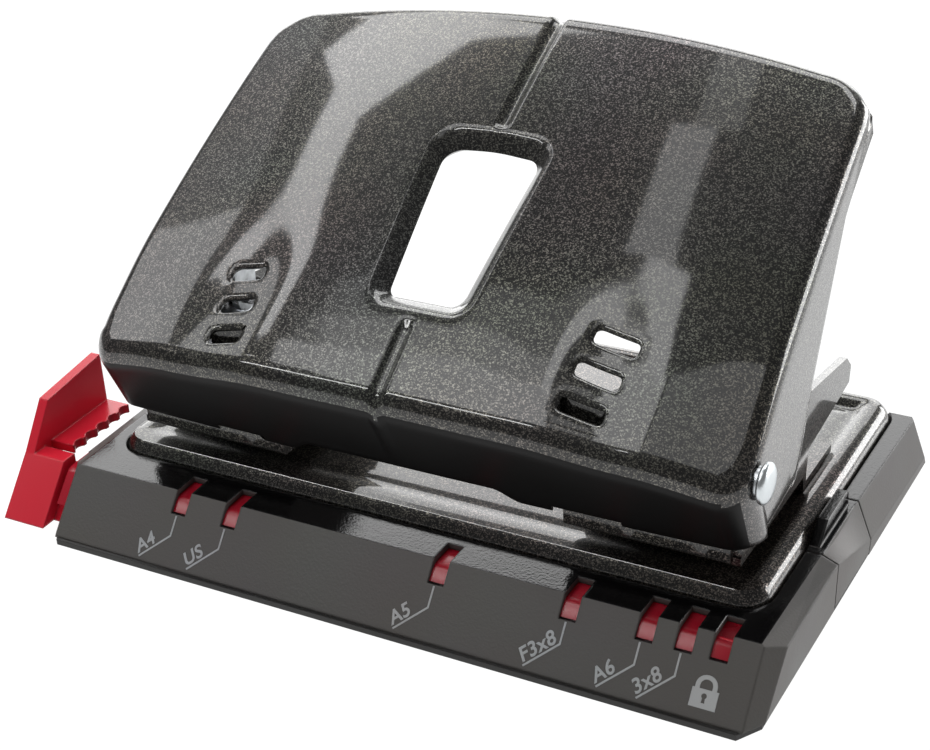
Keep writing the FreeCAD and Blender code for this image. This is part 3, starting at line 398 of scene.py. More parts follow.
# %% Opal acrylic
board = finish_named("opal_acrylic")
board_where = add(board, "TexCoord")
board_noise = add(board, "TexNoise", Vector=(board_where, "Object"), Scale=1 / (4 * MM),
                  Detail=3.0)
board_tint = ramp(board, (board_noise, 0), [(0.2, "#333333"), (0.8, "#363636")])
output(board, add(board, "BsdfPrincipled", Base_Color=(board_tint, "Color"), Roughness=0.8,
                  Emission_Color=linear("#ffffff"), Emission_Strength=1.0))
floor.data.materials.append(board)
print("floor finish:", board.name)

# %% [markdown]
# ## Dressing the CAD parts
# A CAD node whose shape is right stays as it is and only gets its finish. Each finish could be
# given node by node, but the record already names a material slot for every node, so the slots
# decide. The pan and the two punch brackets share one slot, as they share one spray booth.

# %% Finishes on the nodes
FINISH = {"lever_paint": lever_lacquer, "base_paint": pan_lacquer, "tray_plastic": tray_plastic,
          "cover_plastic": cover_plastic, "guide_plastic": guide_plastic, "zinc": zinc,
          "punch_steel": punch_steel, "spring_steel": wire_steel}


def dress(node, material):
    """Gives a CAD node one material, whatever slots it came with."""
    mesh = frame["nodes"][node].data
    mesh.materials.clear()
    mesh.materials.append(material)


SLOT_OF = {part["node"]: part["material_slot"] for part in frame["record"]["subparts"]}
for node, slot in SLOT_OF.items():
    dress(node, FINISH[slot])
print("dressed:", len(SLOT_OF), "nodes")

# %% [markdown]
# ## The lever
# On the real punch the lever is one steel pressing, 1.2 mm thick. A flat blank is pressed over
# a form that bows it from front to back and crowns it from side to side, its rim is folded
# down all round, and the window and six slots are drawn in with soft rolled edges. It could be
# carved from a block, but a pressing keeps one thickness everywhere, so it is made as one:
# a flat grid is laid over the form, its rim is extruded down as walls, holes are opened and
# their rims rolled under, and only then does the sheet get its thickness.

# %% The press form
BOW = (195.1, -288.1, 393.3)                    # centre y, centre z and radius of the bow
CROWN_HALF, CROWN_DROP = 50.7, 3.9              # half width, and how far the sides lie lower
CROWN = (CROWN_HALF ** 2 / CROWN_DROP + CROWN_DROP) / 2     # radius from side to side
FRONT_HALF, REAR_HALF = 51.3, 49.1              # the lever's half widths
REAR_CORNER = 29.0                              # y of the rear corners
APRON_FOOT, APRON_LEAN = 18.5, 0.465            # lower edge, and run per mm of height


def smooth(a, b, value):
    """0 below a, 1 above b, with a soft start and end."""
    t = min(1.0, max(0.0, (value - a) / (b - a)))
    return t * t * (3 - 2 * t)


def groove(x, y):
    """Depth of the rolled groove along the middle, which runs out through the nose."""
    across = max(0.0, 1 - (x / 1.4) ** 2) ** 1.5
    along = smooth(-31.5, -30.5, y) * (1 - smooth(-21.6, -20.4, y)) + smooth(7.6, 8.8, y)
    return 0.75 * across * along


def plain_height(x, y):
    """Height of the lever's top over a place, without the groove, all in mm."""
    reach = BOW[2] - (CROWN - math.sqrt(CROWN ** 2 - x * x))
    plain = BOW[1] + math.sqrt(reach ** 2 - (y - BOW[0]) ** 2)
    # Near the nose the crown falls off to the corners, with a slight hollow over each punch.
    near_nose = 1 - smooth(-27.0, -12.0, y)
    wave = (0.3 * math.exp(-((abs(x) - 22.0) / 6.0) ** 2)
            - 0.35 * math.exp(-((abs(x) - 33.0) / 6.0) ** 2))
    droop = 1.2 * smooth(36.0, 50.0, abs(x))
    valley = 0.35 * math.exp(-((abs(x) - 28.0) / 5.5) ** 2 - ((y + 20.0) / 9.0) ** 2)
    return plain + near_nose * (wave - droop) - valley


def form_height(x, y):
    """Height of the form that the blank is laid on."""
    return plain_height(x, y) - groove(x, y)


def side_half(y):
    """Half width of the lever at y: it narrows over its 48.8 mm of straight side."""
    return FRONT_HALF - (FRONT_HALF - REAR_HALF) / 48.8 * (y + 26.8)


def nose_y(x):
    """Where the leaning front face meets the top."""
    y = -30.5
    for _ in range(12):                         # each round lands closer to the meeting line
        rise = plain_height(x, y) - APRON_FOOT
        y = -24.2 - APRON_LEAN * rise - (1 - (x / CROWN_HALF) ** 2)
    return y


def rear_y(x):
    """The rear edge, bowed by 1.6 mm."""
    return 30.6 - 1.6 * (x / 48.9) ** 2


print("nose at", round(nose_y(0), 2), "height", round(form_height(0, nose_y(0)), 2))

# %% [markdown]
# The blank's outline is a straight side, a bowed rear edge, the line where the top meets the
# leaning apron, and rounded corners between them. A circle tool would give even corners only,
# so each corner is a short Bezier arc. Only half is worked out, and the other half mirrors it.

# %% Outline of the top
def curve(p0, p1, p2, p3, count):
    """Points on a Bezier arc, without its last end."""
    found = []
    for step in range(count):
        t = step / count
        a, b, c, d = (1 - t) ** 3, 3 * t * (1 - t) ** 2, 3 * t * t * (1 - t), t ** 3
        found.append(tuple(a * p0[k] + b * p1[k] + c * p2[k] + d * p3[k] for k in (0, 1)))
    return found


def round_corner(before, corner, after, count):
    """A rounded corner from one point to the next, with handles towards the corner."""
    k = 0.5523
    h1 = tuple(before[i] + (corner[i] - before[i]) * k for i in (0, 1))
    h2 = tuple(after[i] + (corner[i] - after[i]) * k for i in (0, 1))
    return curve(before, h1, h2, after, count)


FRONT_R, REAR_R, CORNER_STEPS = 4.2, 7.0, 10
COLUMNS, ROWS = 75, 96                          # of half the width, and of the whole depth
FINE = 8                                        # narrow columns beside the middle groove


def spread(start, end, count):
    """Even steps from start, without the end."""
    return [start + (end - start) * step / count for step in range(count)]


def half_columns(end):
    """Steps across half the width: 0.3 mm at the middle groove and wider beyond it."""
    return spread(0.0, 0.3 * FINE, FINE) + spread(0.3 * FINE, end, COLUMNS - FINE)


front_half = side_half(-29.0)
rear_half = side_half(REAR_CORNER)
right_front = [(front_half - FRONT_R, nose_y(front_half - FRONT_R)),
               (front_half, nose_y(front_half)),
               (front_half, nose_y(front_half) + FRONT_R)]
right_rear = [(side_half(REAR_CORNER - REAR_R), REAR_CORNER - REAR_R), (rear_half, REAR_CORNER),
              (rear_half - REAR_R, rear_y(rear_half - REAR_R))]
half_outline = ([(x, nose_y(x)) for x in half_columns(right_front[0][0])]
                + round_corner(*right_front, CORNER_STEPS)
                + [(side_half(y), y) for y in spread(right_front[2][1], right_rear[0][1], ROWS)]
                + round_corner(*right_rear, CORNER_STEPS)
                + [right_rear[2]] + [(x, rear_y(x)) for x in half_columns(right_rear[2][0])[::-1]])
rim = half_outline + [(-x, y) for x, y in half_outline[-2:0:-1]]
print("points round the rim:", len(rim))

# %% [markdown]
# The fold is an arc between two directions: inward over the top, and down the wall. Both are
# worked out at each point of the rim, so the same few lines bend the steep nose, the upright
# sides and the rear edge. The walls end on the outline that the real pressing was trimmed to.

# %% Folds and walls
EDGE = [(-20.0, 18.5), (-19.2, 19.5), (-7.9, 19.5), (-6.6, 20.0), (-5.3, 21.8), (0.1, 30.9),
        (13.2, 49.8), (26.0, 59.0), (36.0, 66.5)]


def edge_height(y):
    """Height of the side walls' lower edge at y."""
    for (y0, z0), (y1, z1) in zip(EDGE, EDGE[1:]):
        if y <= y1:
            return z0 + (z1 - z0) * max(0.0, y - y0) / (y1 - y0)
    return EDGE[-1][1]


def top_point(x, y):
    """A point of the top in mm, without the groove."""
    return Vector((x, y, plain_height(x, y)))


def top_normal(x, y):
    """The way the top faces, from its slopes over a short step."""
    d = 0.05
    slope_x = (plain_height(x + d, y) - plain_height(x - d, y)) / (2 * d)
    slope_y = (plain_height(x, y + d) - plain_height(x, y - d)) / (2 * d)
    return Vector((-slope_x, -slope_y, 1.0)).normalized()


def wall_end(x, y, corner):
    """The point of the trimmed lower edge under a point of the rim."""
    drop = corner.z - APRON_FOOT
    front_end = right_front[2][1]
    if y < front_end:                           # the apron, with a low arch in its middle
        arch = 1.9 * (1 - smooth(14.5, 18.5, abs(x)))
        run = APRON_LEAN * (drop - arch)
        return Vector((x, y + run, APRON_FOOT + arch))
    if y > 28.0 or abs(x) < side_half(y) - 0.6:
        return Vector((x, y, edge_height(y)))
    start = front_end + APRON_LEAN * drop
    share = (y - front_end) / (-2.0 - front_end)
    reach = y if share >= 1 else start + (-2.0 - start) * share
    return Vector((math.copysign(side_half(reach), x), reach, edge_height(reach)))


def fold_rings(index, steps):
    """Where the rim, the fold and the top of the wall lie at one point of the rim."""
    x, y = rim[index]
    corner = top_point(x, y)
    before, after = rim[index - 1], rim[(index + 1) % len(rim)]
    run = (top_point(*after) - top_point(*before)).normalized()
    inward = top_normal(x, y).cross(run).normalized()
    end = wall_end(x, y, corner)
    down = (end - corner).normalized()
    down = (down - run * down.dot(run)).normalized()
    radius = 2.6 + 1.3 * (1 - smooth(-29.0, -22.0, y))      # the nose is folded softer
    between = inward.angle(down)
    length = radius / math.tan(between / 2)
    middle = corner + (inward + down).normalized() * radius / math.sin(between / 2)
    first, last = corner + inward * length - middle, corner + down * length - middle
    turn = first.angle(last)
    arc = [middle + (first * math.sin((1 - t) * turn) + last * math.sin(t * turn)) / math.sin(turn)
           for t in (step / steps for step in range(steps + 1))]
    return [point - Vector((0, 0, groove(point.x, point.y))) for point in arc], end


def flared(place):
    """Behind a crease that runs from the rear of the fold to the pivot, the side wall flares."""
    if abs(place.x) < 44:
        return place
    behind = 0.8 * (place.y - 4.0) - 0.6 * (place.z - 36.0)
    out = 0.11 * max(0.0, behind) * smooth(44.0, 48.5, abs(place.x))
    return place + Vector((math.copysign(min(out, 1.9), place.x), 0, 0))


FOLD_STEPS, WALL_STEPS = 8, 12
rings = []
for index in range(len(rim)):
    arc, end = fold_rings(index, FOLD_STEPS)
    wall = [flared(arc[-1].lerp(end, step / WALL_STEPS)) for step in range(1, WALL_STEPS + 1)]
    rings.append(arc + wall)
print("rings in each fold and wall:", len(rings[0]))

# %% [markdown]
# The blank is a grid primitive. Its rim is laid on the start of the folds, and the vertices
# inside are spread evenly between the four sides, which keeps the squares flowing along the
# shape. Then every one is dropped on the form. Subdividing a bent box would be quicker, but
# its rows wouldn't follow the bowed edges.

# %% Laying the blank on the form
FRONT_STEPS = COLUMNS + CORNER_STEPS // 2       # from the front middle to a corner
SIDE_STEPS = ROWS + CORNER_STEPS
start_rim = [ring[0] for ring in rings]
count = len(start_rim)
front_at = [(index - FRONT_STEPS) % count for index in range(2 * FRONT_STEPS + 1)]
right_at = [FRONT_STEPS + index for index in range(SIDE_STEPS + 1)]
rear_at = [(FRONT_STEPS + SIDE_STEPS + index) % count
           for index in range(2 * FRONT_STEPS, -1, -1)]
left_at = [(-FRONT_STEPS - index) % count for index in range(SIDE_STEPS + 1)]


def key(place):
    """A vertex's place as a key: its owner is looked up by it after each extrusion."""
    return tuple(round(value / MM, 3) for value in place)


bpy.ops.object.select_all(action="DESELECT")
bpy.ops.mesh.primitive_grid_add(x_subdivisions=2 * FRONT_STEPS, y_subdivisions=SIDE_STEPS,
                                size=100 * MM)
lever = bpy.context.object
last_column = 2 * FRONT_STEPS
owner = {}
for vertex in lever.data.vertices:
    j, i = divmod(vertex.index, last_column + 1)
    u, v = i / last_column, j / SIDE_STEPS
    front, rear = start_rim[front_at[i]], start_rim[rear_at[i]]
    left, right = start_rim[left_at[j]], start_rim[right_at[j]]
    plan = (front * (1 - v) + rear * v + left * (1 - u) + right * u
            - start_rim[front_at[0]] * (1 - u) * (1 - v) - start_rim[front_at[-1]] * u * (1 - v)
            - start_rim[rear_at[0]] * (1 - u) * v - start_rim[rear_at[-1]] * u * v)
    vertex.co = Vector((plan.x, plan.y, form_height(plan.x, plan.y))) * MM
    for edge, at in ((i == 0, left_at[j]), (i == last_column, right_at[j]),
                     (j == 0, front_at[i]), (j == SIDE_STEPS, rear_at[i])):
        if edge:
            vertex.co = start_rim[at] * MM
            owner[key(vertex.co)] = at
print("blank:", len(lever.data.polygons), "faces")


# %% Folding the rim down
def select_rim(piece, low, high):
    """Selects the open edges that lie between two corners of a plan box, in mm."""
    only(piece)
    bpy.ops.object.mode_set(mode="EDIT")
    bpy.ops.mesh.select_mode(type="EDGE")
    bpy.ops.mesh.select_all(action="DESELECT")
    bpy.ops.mesh.select_non_manifold(extend=False, use_wire=False, use_multi_face=False,
                                     use_non_contiguous=False, use_verts=False)
    bpy.ops.object.mode_set(mode="OBJECT")
    points = piece.data.vertices
    for edge in piece.data.edges:
        if edge.select:
            ends = [points[index].co / MM for index in edge.vertices]
            edge.select = all(low[k] < end[k] < high[k] for end in ends for k in (0, 1))
    chosen = {index for edge in piece.data.edges if edge.select for index in edge.vertices}
    for vertex in points:
        vertex.select = vertex.index in chosen
    return chosen


def extrude_ring(piece, owner, place):
    """Extrudes the selected edges in place, then moves each new vertex where its owner says."""
    bpy.ops.object.mode_set(mode="EDIT")
    bpy.ops.mesh.extrude_edges_move(TRANSFORM_OT_translate={"value": (0, 0, 0)})
    bpy.ops.object.mode_set(mode="OBJECT")
    moved = {}
    for vertex in piece.data.vertices:
        if vertex.select:
            token = owner[key(vertex.co)]
            vertex.co = place(token) * MM
            moved[key(vertex.co)] = token
    return moved


select_rim(lever, (-80, -60), (80, 60))
for step in range(1, FOLD_STEPS + WALL_STEPS + 1):
    owner = extrude_ring(lever, owner, lambda index: rings[index][step])
print("folded:", len(lever.data.polygons), "faces")

# %% [markdown]
# The window and the slots are punched and their rims pressed inward. Faces inside an outline
# are deleted, the ragged rim is moved onto the outline, and it is extruded in and down along
# a small roll and a slope.

# %% Window and slots
def rounded_loop(corners, radii, steps=6):
    """A closed loop through corners in mm, each rounded by its radius."""
    loop = []
    for index, corner in enumerate(corners):
        here = Vector(corner)
        to_last = (Vector(corners[index - 1]) - here).normalized()
        to_next = (Vector(corners[(index + 1) % len(corners)]) - here).normalized()
        start, end = here + to_last * radii[index], here + to_next * radii[index]
        loop += [Vector(p) for p in round_corner(start, here, end, steps)] + [end]
    return loop


def inside(loop, x, y):
    """Whether a place lies inside a loop: it crosses the loop an odd number of times."""
    within = False
    for a, b in zip(loop, loop[1:] + loop[:1]):
        if (a.y > y) != (b.y > y) and x < a.x + (y - a.y) / (b.y - a.y) * (b.x - a.x):
            within = not within
    return within


def nearest(loop, x, y):
    """The nearest place on a loop: the number of its run, how far along it, and the point."""
    place, best = Vector((x, y)), None
    for index, a in enumerate(loop):
        run = loop[(index + 1) % len(loop)] - a
        share = min(1.0, max(0.0, (place - a).dot(run) / max(run.length_squared, 1e-12)))
        point = a + run * share
        gap = (place - point).length
        if best is None or gap < best[0] - 1e-9:
            best = (gap, index, share, point)
    return best[1:]


def drawn_hole(piece, crest, hole, profile):
    """Opens a hole and draws its rim down from the crest loop to the hole loop.

    Both loops have the same number of points. The profile's steps are pairs: how far from the
    crest to the hole, and the depth in mm.
    """
    low = [min(point[k] for point in crest) - 0.5 for k in (0, 1)]
    high = [max(point[k] for point in crest) + 0.5 for k in (0, 1)]
    pick_faces(piece, lambda middle, normal: normal.z > 0.3 and low[0] < middle.x < high[0]
               and low[1] < middle.y < high[1] and inside(crest, middle.x, middle.y))
    bpy.ops.mesh.delete(type="FACE")
    for index in select_rim(piece, low, high):
        vertex = piece.data.vertices[index]
        place = nearest(crest, vertex.co.x / MM, vertex.co.y / MM)[2]
        vertex.co = Vector((place.x, place.y, form_height(*place))) * MM
    bpy.ops.object.mode_set(mode="EDIT")
    bpy.ops.mesh.remove_doubles(threshold=0.15 * MM)
    bpy.ops.object.mode_set(mode="OBJECT")
    owner = {}
    for index in select_rim(piece, low, high):
        vertex = piece.data.vertices[index]
        run, share, point = nearest(crest, vertex.co.x / MM, vertex.co.y / MM)
        target = hole[run].lerp(hole[(run + 1) % len(hole)], share)
        owner[key(vertex.co)] = (point, target)
    for reach, depth in profile:
        def sunk(token):
            place = token[0].lerp(token[1], reach)
            return Vector((place.x, place.y, form_height(*place) - depth))
        owner = extrude_ring(piece, owner, sunk)
    return len(owner)


def turned_box(middle_x, middle_y, half_x, half_y, degrees, radius):
    """A rounded oblong, turned a little, as a loop."""
    c, s = math.cos(math.radians(degrees)), math.sin(math.radians(degrees))
    corners = [(middle_x + a * half_x * c - b * half_y * s,
                middle_y + a * half_x * s + b * half_y * c)
               for a, b in ((-1, -1), (1, -1), (1, 1), (-1, 1))]
    return rounded_loop(corners, [radius] * 4)


window_crest = rounded_loop([(-8.4, -20.3), (8.4, -20.3), (10.2, 7.8), (0, 8.05), (-10.2, 7.8)],
                            [3.3, 3.3, 3.8, 2.0, 3.8], 8)
window_hole = rounded_loop([(-5.6, -16.4), (5.7, -16.4), (7.6, 5.7), (0, 6.2), (-7.6, 5.7)],
                           [1.2, 1.9, 1.9, 2.0, 2.6], 8)
ROLL = [(0.12, 0.06), (0.25, 0.2), (0.38, 0.42), (0.5, 0.75), (0.67, 1.25), (0.83, 1.75),
        (1, 2.25)]
print("window rim:", drawn_hole(lever, window_crest, window_hole, ROLL))
DIMPLE = [(0.3, 0.03), (0.6, 0.13), (0.85, 0.27), (1.0, 0.36)]
# Each slot: its middle, half its length, and its turn in degrees.
SLOTS = [(29.2, -16.9, 3.2, -4.5), (28.45, -21.25, 3.2, -3.0), (28.0, -25.65, 3.2, 0.0),
         (-28.2, -17.3, 2.6, 6.0), (-27.55, -21.75, 2.6, 5.0), (-27.1, -26.1, 2.6, 2.5)]
for middle_x, middle_y, half, degrees in SLOTS:
    made = drawn_hole(lever, turned_box(middle_x, middle_y, half + 0.8, 1.65, degrees, 1.5),
                      turned_box(middle_x, middle_y, half, 0.9, degrees, 0.6), DIMPLE)
print("each slot rim:", made)

# %% [markdown]
# The sheet gets its thickness last, inward from the outer face, so that both faces follow one
# another through every fold, and its cut edges are broken by a small bevel. The apron's black
# band is painted shade: the faces that lean down and forward get a near-black, weakly glossy
# second finish, so the apron reads as dark as it does in shade. It stays on the same faces and
# is not a piece of its own.

# %% Giving the sheet its thickness
solid = lever.modifiers.new("sheet", "SOLIDIFY")
solid.thickness = 1.2 * MM
solid.offset = -1.0
soft = lever.modifiers.new("edges", "BEVEL")
soft.width, soft.segments, soft.limit_method = 0.15 * MM, 2, "ANGLE"
soft.angle_limit = math.radians(60)
apply_all(lever)
settle(lever, "lever_pressing", "lever_arm", lever_lacquer, ["lever"], angle=40)

# %% The apron's band of painted shade
lever.data.materials.append(apron_painted_shade)
# Faces that lean down and forward get the near-black painted shade.
for face in lever.data.polygons:
    if face.center.y < -21 * MM and face.normal.y < -0.55 and face.normal.z < -0.15:
        face.material_index = 1
print("triangles:", sum(len(p.vertices) - 2 for p in lever.data.polygons))

# %% [markdown]
# ## The base pan
# The pan is pressed from one sheet: a soft ridge runs round it as a stiffener, with a shallow
# valley inside, and the middle is flat for the towers. A bevelled box would have the outline
# but no even wall, so a ring of vertices is laid on the outline and extruded inward ring by
# ring, as a press would draw it. The middle is closed and the sheet gets its thickness.

# %% Pan pressing
def oblong(inset, height, half=52.6, front=-23.9, rear=33.9, radius=4.5, steps=10):
    """Points of a rounded oblong in mm, set in from the pan's outline."""
    r = max(radius - inset, 1.2)
    right, back, near = half - r - inset, rear - r - inset, front + r + inset
    loop = []
    for cx, cy, start in ((right, back, 0), (-right, back, 90), (-right, near, 180),
                          (right, near, 270)):
        for step in range(steps + 1):
            a = math.radians(start + 90 * step / steps)
            loop.append(Vector((cx + r * math.cos(a), cy + r * math.sin(a), height)))
    return loop


PAN_TOP = 11.4
PAN = [(0.0, 6.0), (0.0, 8.6), (0.15, 9.6), (0.6, 10.7), (1.3, 11.55), (2.2, 12.05), (3.0, 12.1),
       (3.8, 11.8), (4.5, 11.25), (5.2, 10.95), (5.9, 11.05), (6.6, 11.3), (7.4, 11.4)]
pan_rings = [oblong(inset, height) for inset, height in PAN]
for ring in pan_rings:                          # the ridge and valley fade out along the front
    for place in ring:
        if place.z > 10.8:
            keep = smooth(-24.0, -8.0, place.y)
            level = place.z > PAN_TOP or abs(place.y) < 22.2
            plain = PAN_TOP if level else place.z
            place.z = plain + (place.z - plain) * keep
print("pan rings:", len(pan_rings), "of", len(pan_rings[0]), "points")

# %% Drawing the pan
bpy.ops.object.select_all(action="DESELECT")
bpy.ops.mesh.primitive_circle_add(vertices=len(pan_rings[0]), radius=50 * MM)
pan = bpy.context.object
for vertex, place in zip(pan.data.vertices, pan_rings[0]):
    vertex.co = place * MM
pan_owner = {key(vertex.co): vertex.index for vertex in pan.data.vertices}
bpy.ops.object.mode_set(mode="EDIT")
bpy.ops.mesh.select_mode(type="EDGE")
bpy.ops.mesh.select_all(action="SELECT")
for ring in pan_rings[1:]:
    pan_owner = extrude_ring(pan, pan_owner, lambda index: ring[index])
bpy.ops.object.mode_set(mode="EDIT")
bpy.ops.mesh.edge_face_add()
bpy.ops.mesh.select_all(action="SELECT")
bpy.ops.mesh.normals_make_consistent(inside=False)
bpy.ops.object.mode_set(mode="OBJECT")
if max(pan.data.polygons, key=lambda face: face.area).normal.z < 0:
    bpy.ops.object.mode_set(mode="EDIT")
    bpy.ops.mesh.flip_normals()
    bpy.ops.object.mode_set(mode="OBJECT")
sheet = pan.modifiers.new("sheet", "SOLIDIFY")
sheet.thickness, sheet.offset = 1.2 * MM, -1.0
apply_all(pan)

# %% The two dies
PUNCH_X, PUNCH_Y = 40, -8.6                     # the punches' places in mm
for sign in (-1, 1):
    bpy.ops.object.select_all(action="DESELECT")
    bpy.ops.mesh.primitive_cylinder_add(vertices=48, radius=2.85 * MM, depth=8 * MM,
                                        location=(PUNCH_X * sign * MM, PUNCH_Y * MM, 11 * MM))
    punch_tool = bpy.context.object
    die = pan.modifiers.new("die", "BOOLEAN")
    die.operation, die.solver, die.object = "DIFFERENCE", "EXACT", punch_tool
    apply_all(pan)
    only(punch_tool)
    bpy.ops.object.delete()
settle(pan, "base_pan_pressing", "base", pan_lacquer, ["base_plate"], angle=40)

# %% [markdown]
# ## Format marks on the tray
# The marks are pad-printed in light grey ink: a leader line runs from each notch to an underlined
# paper size, and a padlock sits under the last one. Ink could be a texture, but thin flat
# pieces stay crisp in every view. The line is drawn once and copied to each notch.

# %% Ink and the front face
ink = moulded("grey_pad_print_ink", "#a9abae", 0.4, 0.5, 0.05)
FACE_POINT = Vector((0, -35.86, 2.9))           # a point low on the leaning face, in mm
INK_HALF = 0.012                                # half the ink's thickness
ACROSS, UPWARD, OUTWARD = Vector((1, 0, 0)), Vector((0, 0.659, 0.753)), Vector((0, -0.753, 0.659))


def on_front(x, v, degrees=0.0, lift=0.03):
    """The placing of a flat piece on the tray's leaning front face, in mm, turned on it."""
    a = math.radians(degrees)
    right = ACROSS * math.cos(a) + UPWARD * math.sin(a)
    up = UPWARD * math.cos(a) - ACROSS * math.sin(a)
    place = (FACE_POINT + ACROSS * x + UPWARD * v + OUTWARD * lift) * MM
    return Matrix.Translation(place) @ Matrix((right, up, OUTWARD)).transposed().to_4x4()


def flat_piece(name, loops, placing):
    """A filled flat outline with holes, turned into a mesh on the tray's face."""
    data = bpy.data.curves.new(name, "CURVE")
    data.dimensions, data.fill_mode, data.extrude = "2D", "BOTH", INK_HALF * MM
    for loop in loops:
        run = data.splines.new("POLY")
        run.points.add(len(loop) - 1)
        for point, (x, y) in zip(run.points, loop):
            point.co = (x * MM, y * MM, 0, 1)
        run.use_cyclic_u = True
    piece = bpy.data.objects.new(name, data)
    bpy.context.scene.collection.objects.link(piece)
    piece.matrix_world = placing
    only(piece)
    bpy.ops.object.convert(target="MESH")
    return settle(bpy.context.object, name, "base", ink)


# %% Leader lines and sizes
# Each mark stands under its notch, at x in mm.
MARKS = [(-35.3, "A4"), (-26.7, "US"), (8.25, "A5"), (28.3, "F3x8"), (39.0, "A6"), (44.7, "3x8")]
LEAN, LONG, START = 43, 5.9, 5.8                # the line's slant and length; where words begin
c, s = math.cos(math.radians(LEAN)), math.sin(math.radians(LEAN))
line = [(0.14, 3.05), (-0.14, 3.05), (-0.14, 0.08), (-LONG * c - 0.1, -LONG * s + 0.1),
        (-LONG * c + 0.1, -LONG * s - 0.1), (0.14, -0.05)]
first = flat_piece("leader_line_1", [line], on_front(MARKS[0][0], 2.1))
for number, (x, words) in enumerate(MARKS, start=1):
    if number > 1:
        copy = first.copy()
        copy.data = first.data.copy()
        bpy.context.scene.collection.objects.link(copy)
        copy.location = ((x - MARKS[0][0]) * MM, 0, 0)
        settle(copy, "leader_line_%d" % number, "base", ink)
    bpy.ops.object.select_all(action="DESELECT")
    bpy.ops.object.text_add()
    text = bpy.context.object
    text.data.body = words
    text.data.size = 2.75 * MM
    text.data.shear = 0.15
    text.data.offset = 0.06 * MM
    text.data.space_character = 1.05
    text.data.extrude = INK_HALF * MM
    text.matrix_world = on_front(x - START * c - 0.42 * s, 2.1 - START * s + 0.42 * c, LEAN)
    only(text)
    bpy.ops.object.convert(target="MESH")
    settle(bpy.context.object, "size_mark_%d" % number, "base", ink)

# %% Padlock
LOCK_X = 49.15


def bow_of(half_width, height, angles):
    """Part of an oval over the padlock's body."""
    return [(LOCK_X + half_width * math.cos(math.radians(a)),
             2.0 + height * math.sin(math.radians(a))) for a in angles]


keyhole = [(LOCK_X + 0.36 * math.sin(math.radians(a)), 0.65 + 0.36 * math.cos(math.radians(a)))
           for a in range(-150, 151, 20)] + [(49.4, -0.25), (48.9, -0.25)]
body = ([(47.35, -0.95), (51.0, -0.95), (51.0, 1.55), (50.65, 1.55)]
        + bow_of(1.5, 1.4, range(0, 181, 15)) + [(47.65, 1.55), (47.35, 1.55)])
gap = [(48.3, 1.55)] + bow_of(0.85, 0.8, range(180, -1, -15)) + [(50.0, 1.55)]
flat_piece("padlock_mark", [body, gap, keyhole], on_front(0, 0))

# %% [markdown]
# ## The guide's rail and the rivets
# A red rail runs under the whole front edge and shows in each notch. It could be drawn as
# seven small red blocks, but they would hang in the air once the guide is drawn out. So it is
# the one moulded strip that it really is: a flat strip bent over the tray's crease.

# %% Rail under the notches
CREST = [(-34.4, 4.4), (-30.9, 8.15), (-30.35, 8.55), (-29.6, 8.65), (-25.6, 8.65)]
RAIL_LEFT, RAIL_RIGHT, RAIL_STEPS = -57.0, 51.0, 24
bpy.ops.object.select_all(action="DESELECT")
bpy.ops.mesh.primitive_grid_add(x_subdivisions=RAIL_STEPS, y_subdivisions=len(CREST) - 1,
                                size=2 * MM)
rail = bpy.context.object
for vertex in rail.data.vertices:
    row, column = divmod(vertex.index, RAIL_STEPS + 1)
    y, z = CREST[row]
    x = RAIL_LEFT + (RAIL_RIGHT - RAIL_LEFT) * column / RAIL_STEPS
    vertex.co = Vector((x, y + 0.25, z - 0.05)) * MM
thick = rail.modifiers.new("wall", "SOLIDIFY")
thick.thickness, thick.offset = 0.5 * MM, -1.0
round_off = rail.modifiers.new("soft", "BEVEL")
round_off.width, round_off.segments = 0.12 * MM, 2
apply_all(rail)
settle(rail, "guide_rail_skin", "guide", rail_painted_shade_red)

# %% [markdown]
# ### Pivot rivets
# The lever turns on two zinc-plated rivets. The right one ends in a smooth domed head over a
# narrow neck, and the left one is set flush. Both are round all along, so each starts as one
# circle that is extruded along its axis and resized at every step, as a lathe would form it.

# %% Rivet heads
PIVOT_Y, PIVOT_Z = -22.8, 28.8


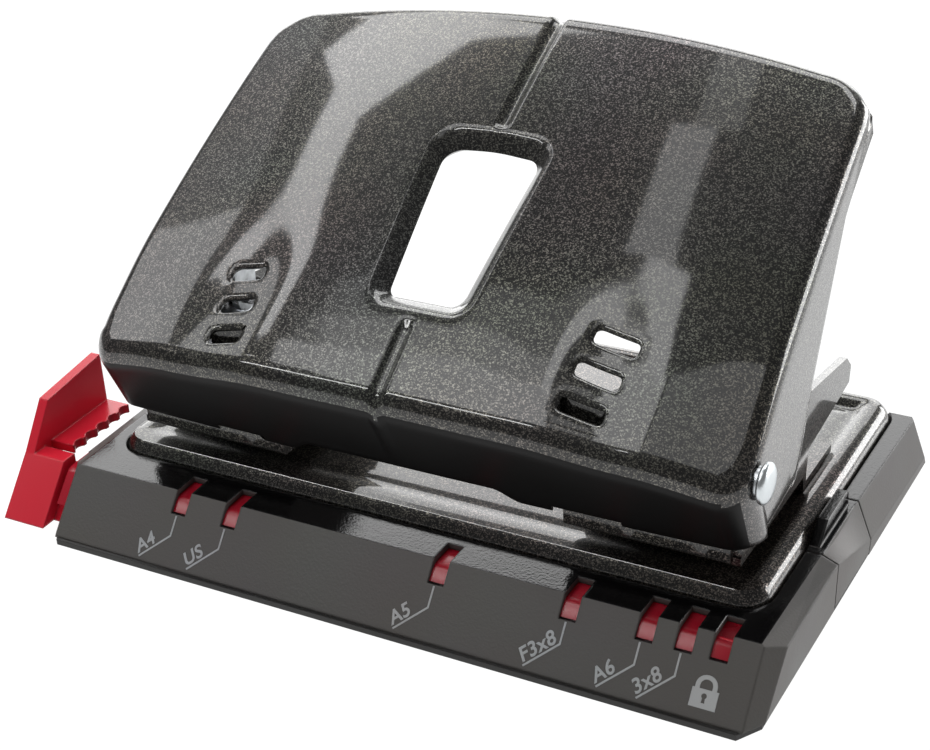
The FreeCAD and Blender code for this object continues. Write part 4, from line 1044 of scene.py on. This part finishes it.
def turned(name, steps, replaced=()):
    """A turned part on the pivot line: steps of (x, radius) in mm, from one end to the other."""
    bpy.ops.object.select_all(action="DESELECT")
    bpy.ops.mesh.primitive_circle_add(vertices=64, radius=steps[0][1] * MM,
                                      rotation=(0, math.radians(90), 0))
    piece = bpy.context.object
    only(piece)
    bpy.ops.object.transform_apply(location=True, rotation=True, scale=True)
    for vertex in piece.data.vertices:
        vertex.co.x = steps[0][0] * MM
    bpy.ops.object.mode_set(mode="EDIT")
    bpy.ops.mesh.select_mode(type="EDGE")
    bpy.ops.mesh.select_all(action="SELECT")
    bpy.ops.mesh.edge_face_add()
    bpy.ops.mesh.select_all(action="DESELECT")
    bpy.ops.mesh.select_non_manifold(extend=False)
    for (x0, r0), (x1, r1) in zip(steps, steps[1:]):
        bpy.ops.mesh.extrude_edges_move(TRANSFORM_OT_translate={"value": ((x1 - x0) * MM, 0, 0)})
        bpy.ops.transform.resize(value=(1, r1 / r0, r1 / r0), center_override=(0, 0, 0))
    bpy.ops.mesh.edge_face_add()
    bpy.ops.mesh.select_all(action="SELECT")
    bpy.ops.mesh.normals_make_consistent(inside=False)
    bpy.ops.object.mode_set(mode="OBJECT")
    piece.location = (0, PIVOT_Y * MM, PIVOT_Z * MM)
    return settle(piece, name, "base", head_zinc, replaced, angle=50)


DOME = [(50.9, 1.7), (51.5, 1.7), (51.55, 2.4), (51.75, 2.75), (52.05, 2.85), (52.4, 2.75),
        (52.7, 2.35), (52.9, 1.7), (53.0, 0.9), (53.02, 0.2)]
turned("pivot_rivet_dome", [(49.0, 1.7)] + DOME)
turned("pivot_rivet_flush", [(-21.8, 1.9), (-22.1, 2.4), (-22.8, 2.5), (-22.85, 1.9), (-50.9, 1.9),
                             (-51.1, 1.7), (-51.15, 0.3)], ["pivot_rivet_left"])

# %% [markdown]
# ### Return springs
# A compression spring is wire wound on a mandrel. A stack of rings would look like it from
# afar, but it has no pitch, so the wire is drawn as a helix curve of round section, with the
# end coils lying close together, and then turned into a mesh.

# %% Springs
SPRING_LOW, SPRING_HIGH, COIL, TURNS = 16.3, 27.9, 4.3, 7.0


def spring(name, sign, steps=28):
    """A wound spring between the bush and the upper seat, as a mesh."""
    data = bpy.data.curves.new(name, "CURVE")
    data.dimensions, data.bevel_depth, data.bevel_resolution = "3D", 0.4 * MM, 3
    data.use_fill_caps = True
    run = data.splines.new("POLY")
    run.points.add(int(TURNS * steps))
    for index, point in enumerate(run.points):
        t = index / steps
        inner = min(max(t - 1.0, 0.0), TURNS - 2.0) / (TURNS - 2.0)
        closed = 0.8 * (min(t, 1.0) + max(t - TURNS + 1.0, 0.0))
        z = SPRING_LOW + closed + inner * (SPRING_HIGH - SPRING_LOW - 1.6)
        a = 2 * math.pi * t
        point.co = ((PUNCH_X * sign + COIL * math.cos(a)) * MM,
                    (PUNCH_Y + COIL * math.sin(a)) * MM, z * MM, 1)
    piece = bpy.data.objects.new(name, data)
    bpy.context.scene.collection.objects.link(piece)
    only(piece)
    bpy.ops.object.convert(target="MESH")
    return bpy.context.object


for side, sign in (("left", -1), ("right", 1)):
    wound = settle(spring("wound_spring_" + side, sign), "wound_spring_" + side, "base",
                   wire_steel, ["return_spring_" + side])
    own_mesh(wound)
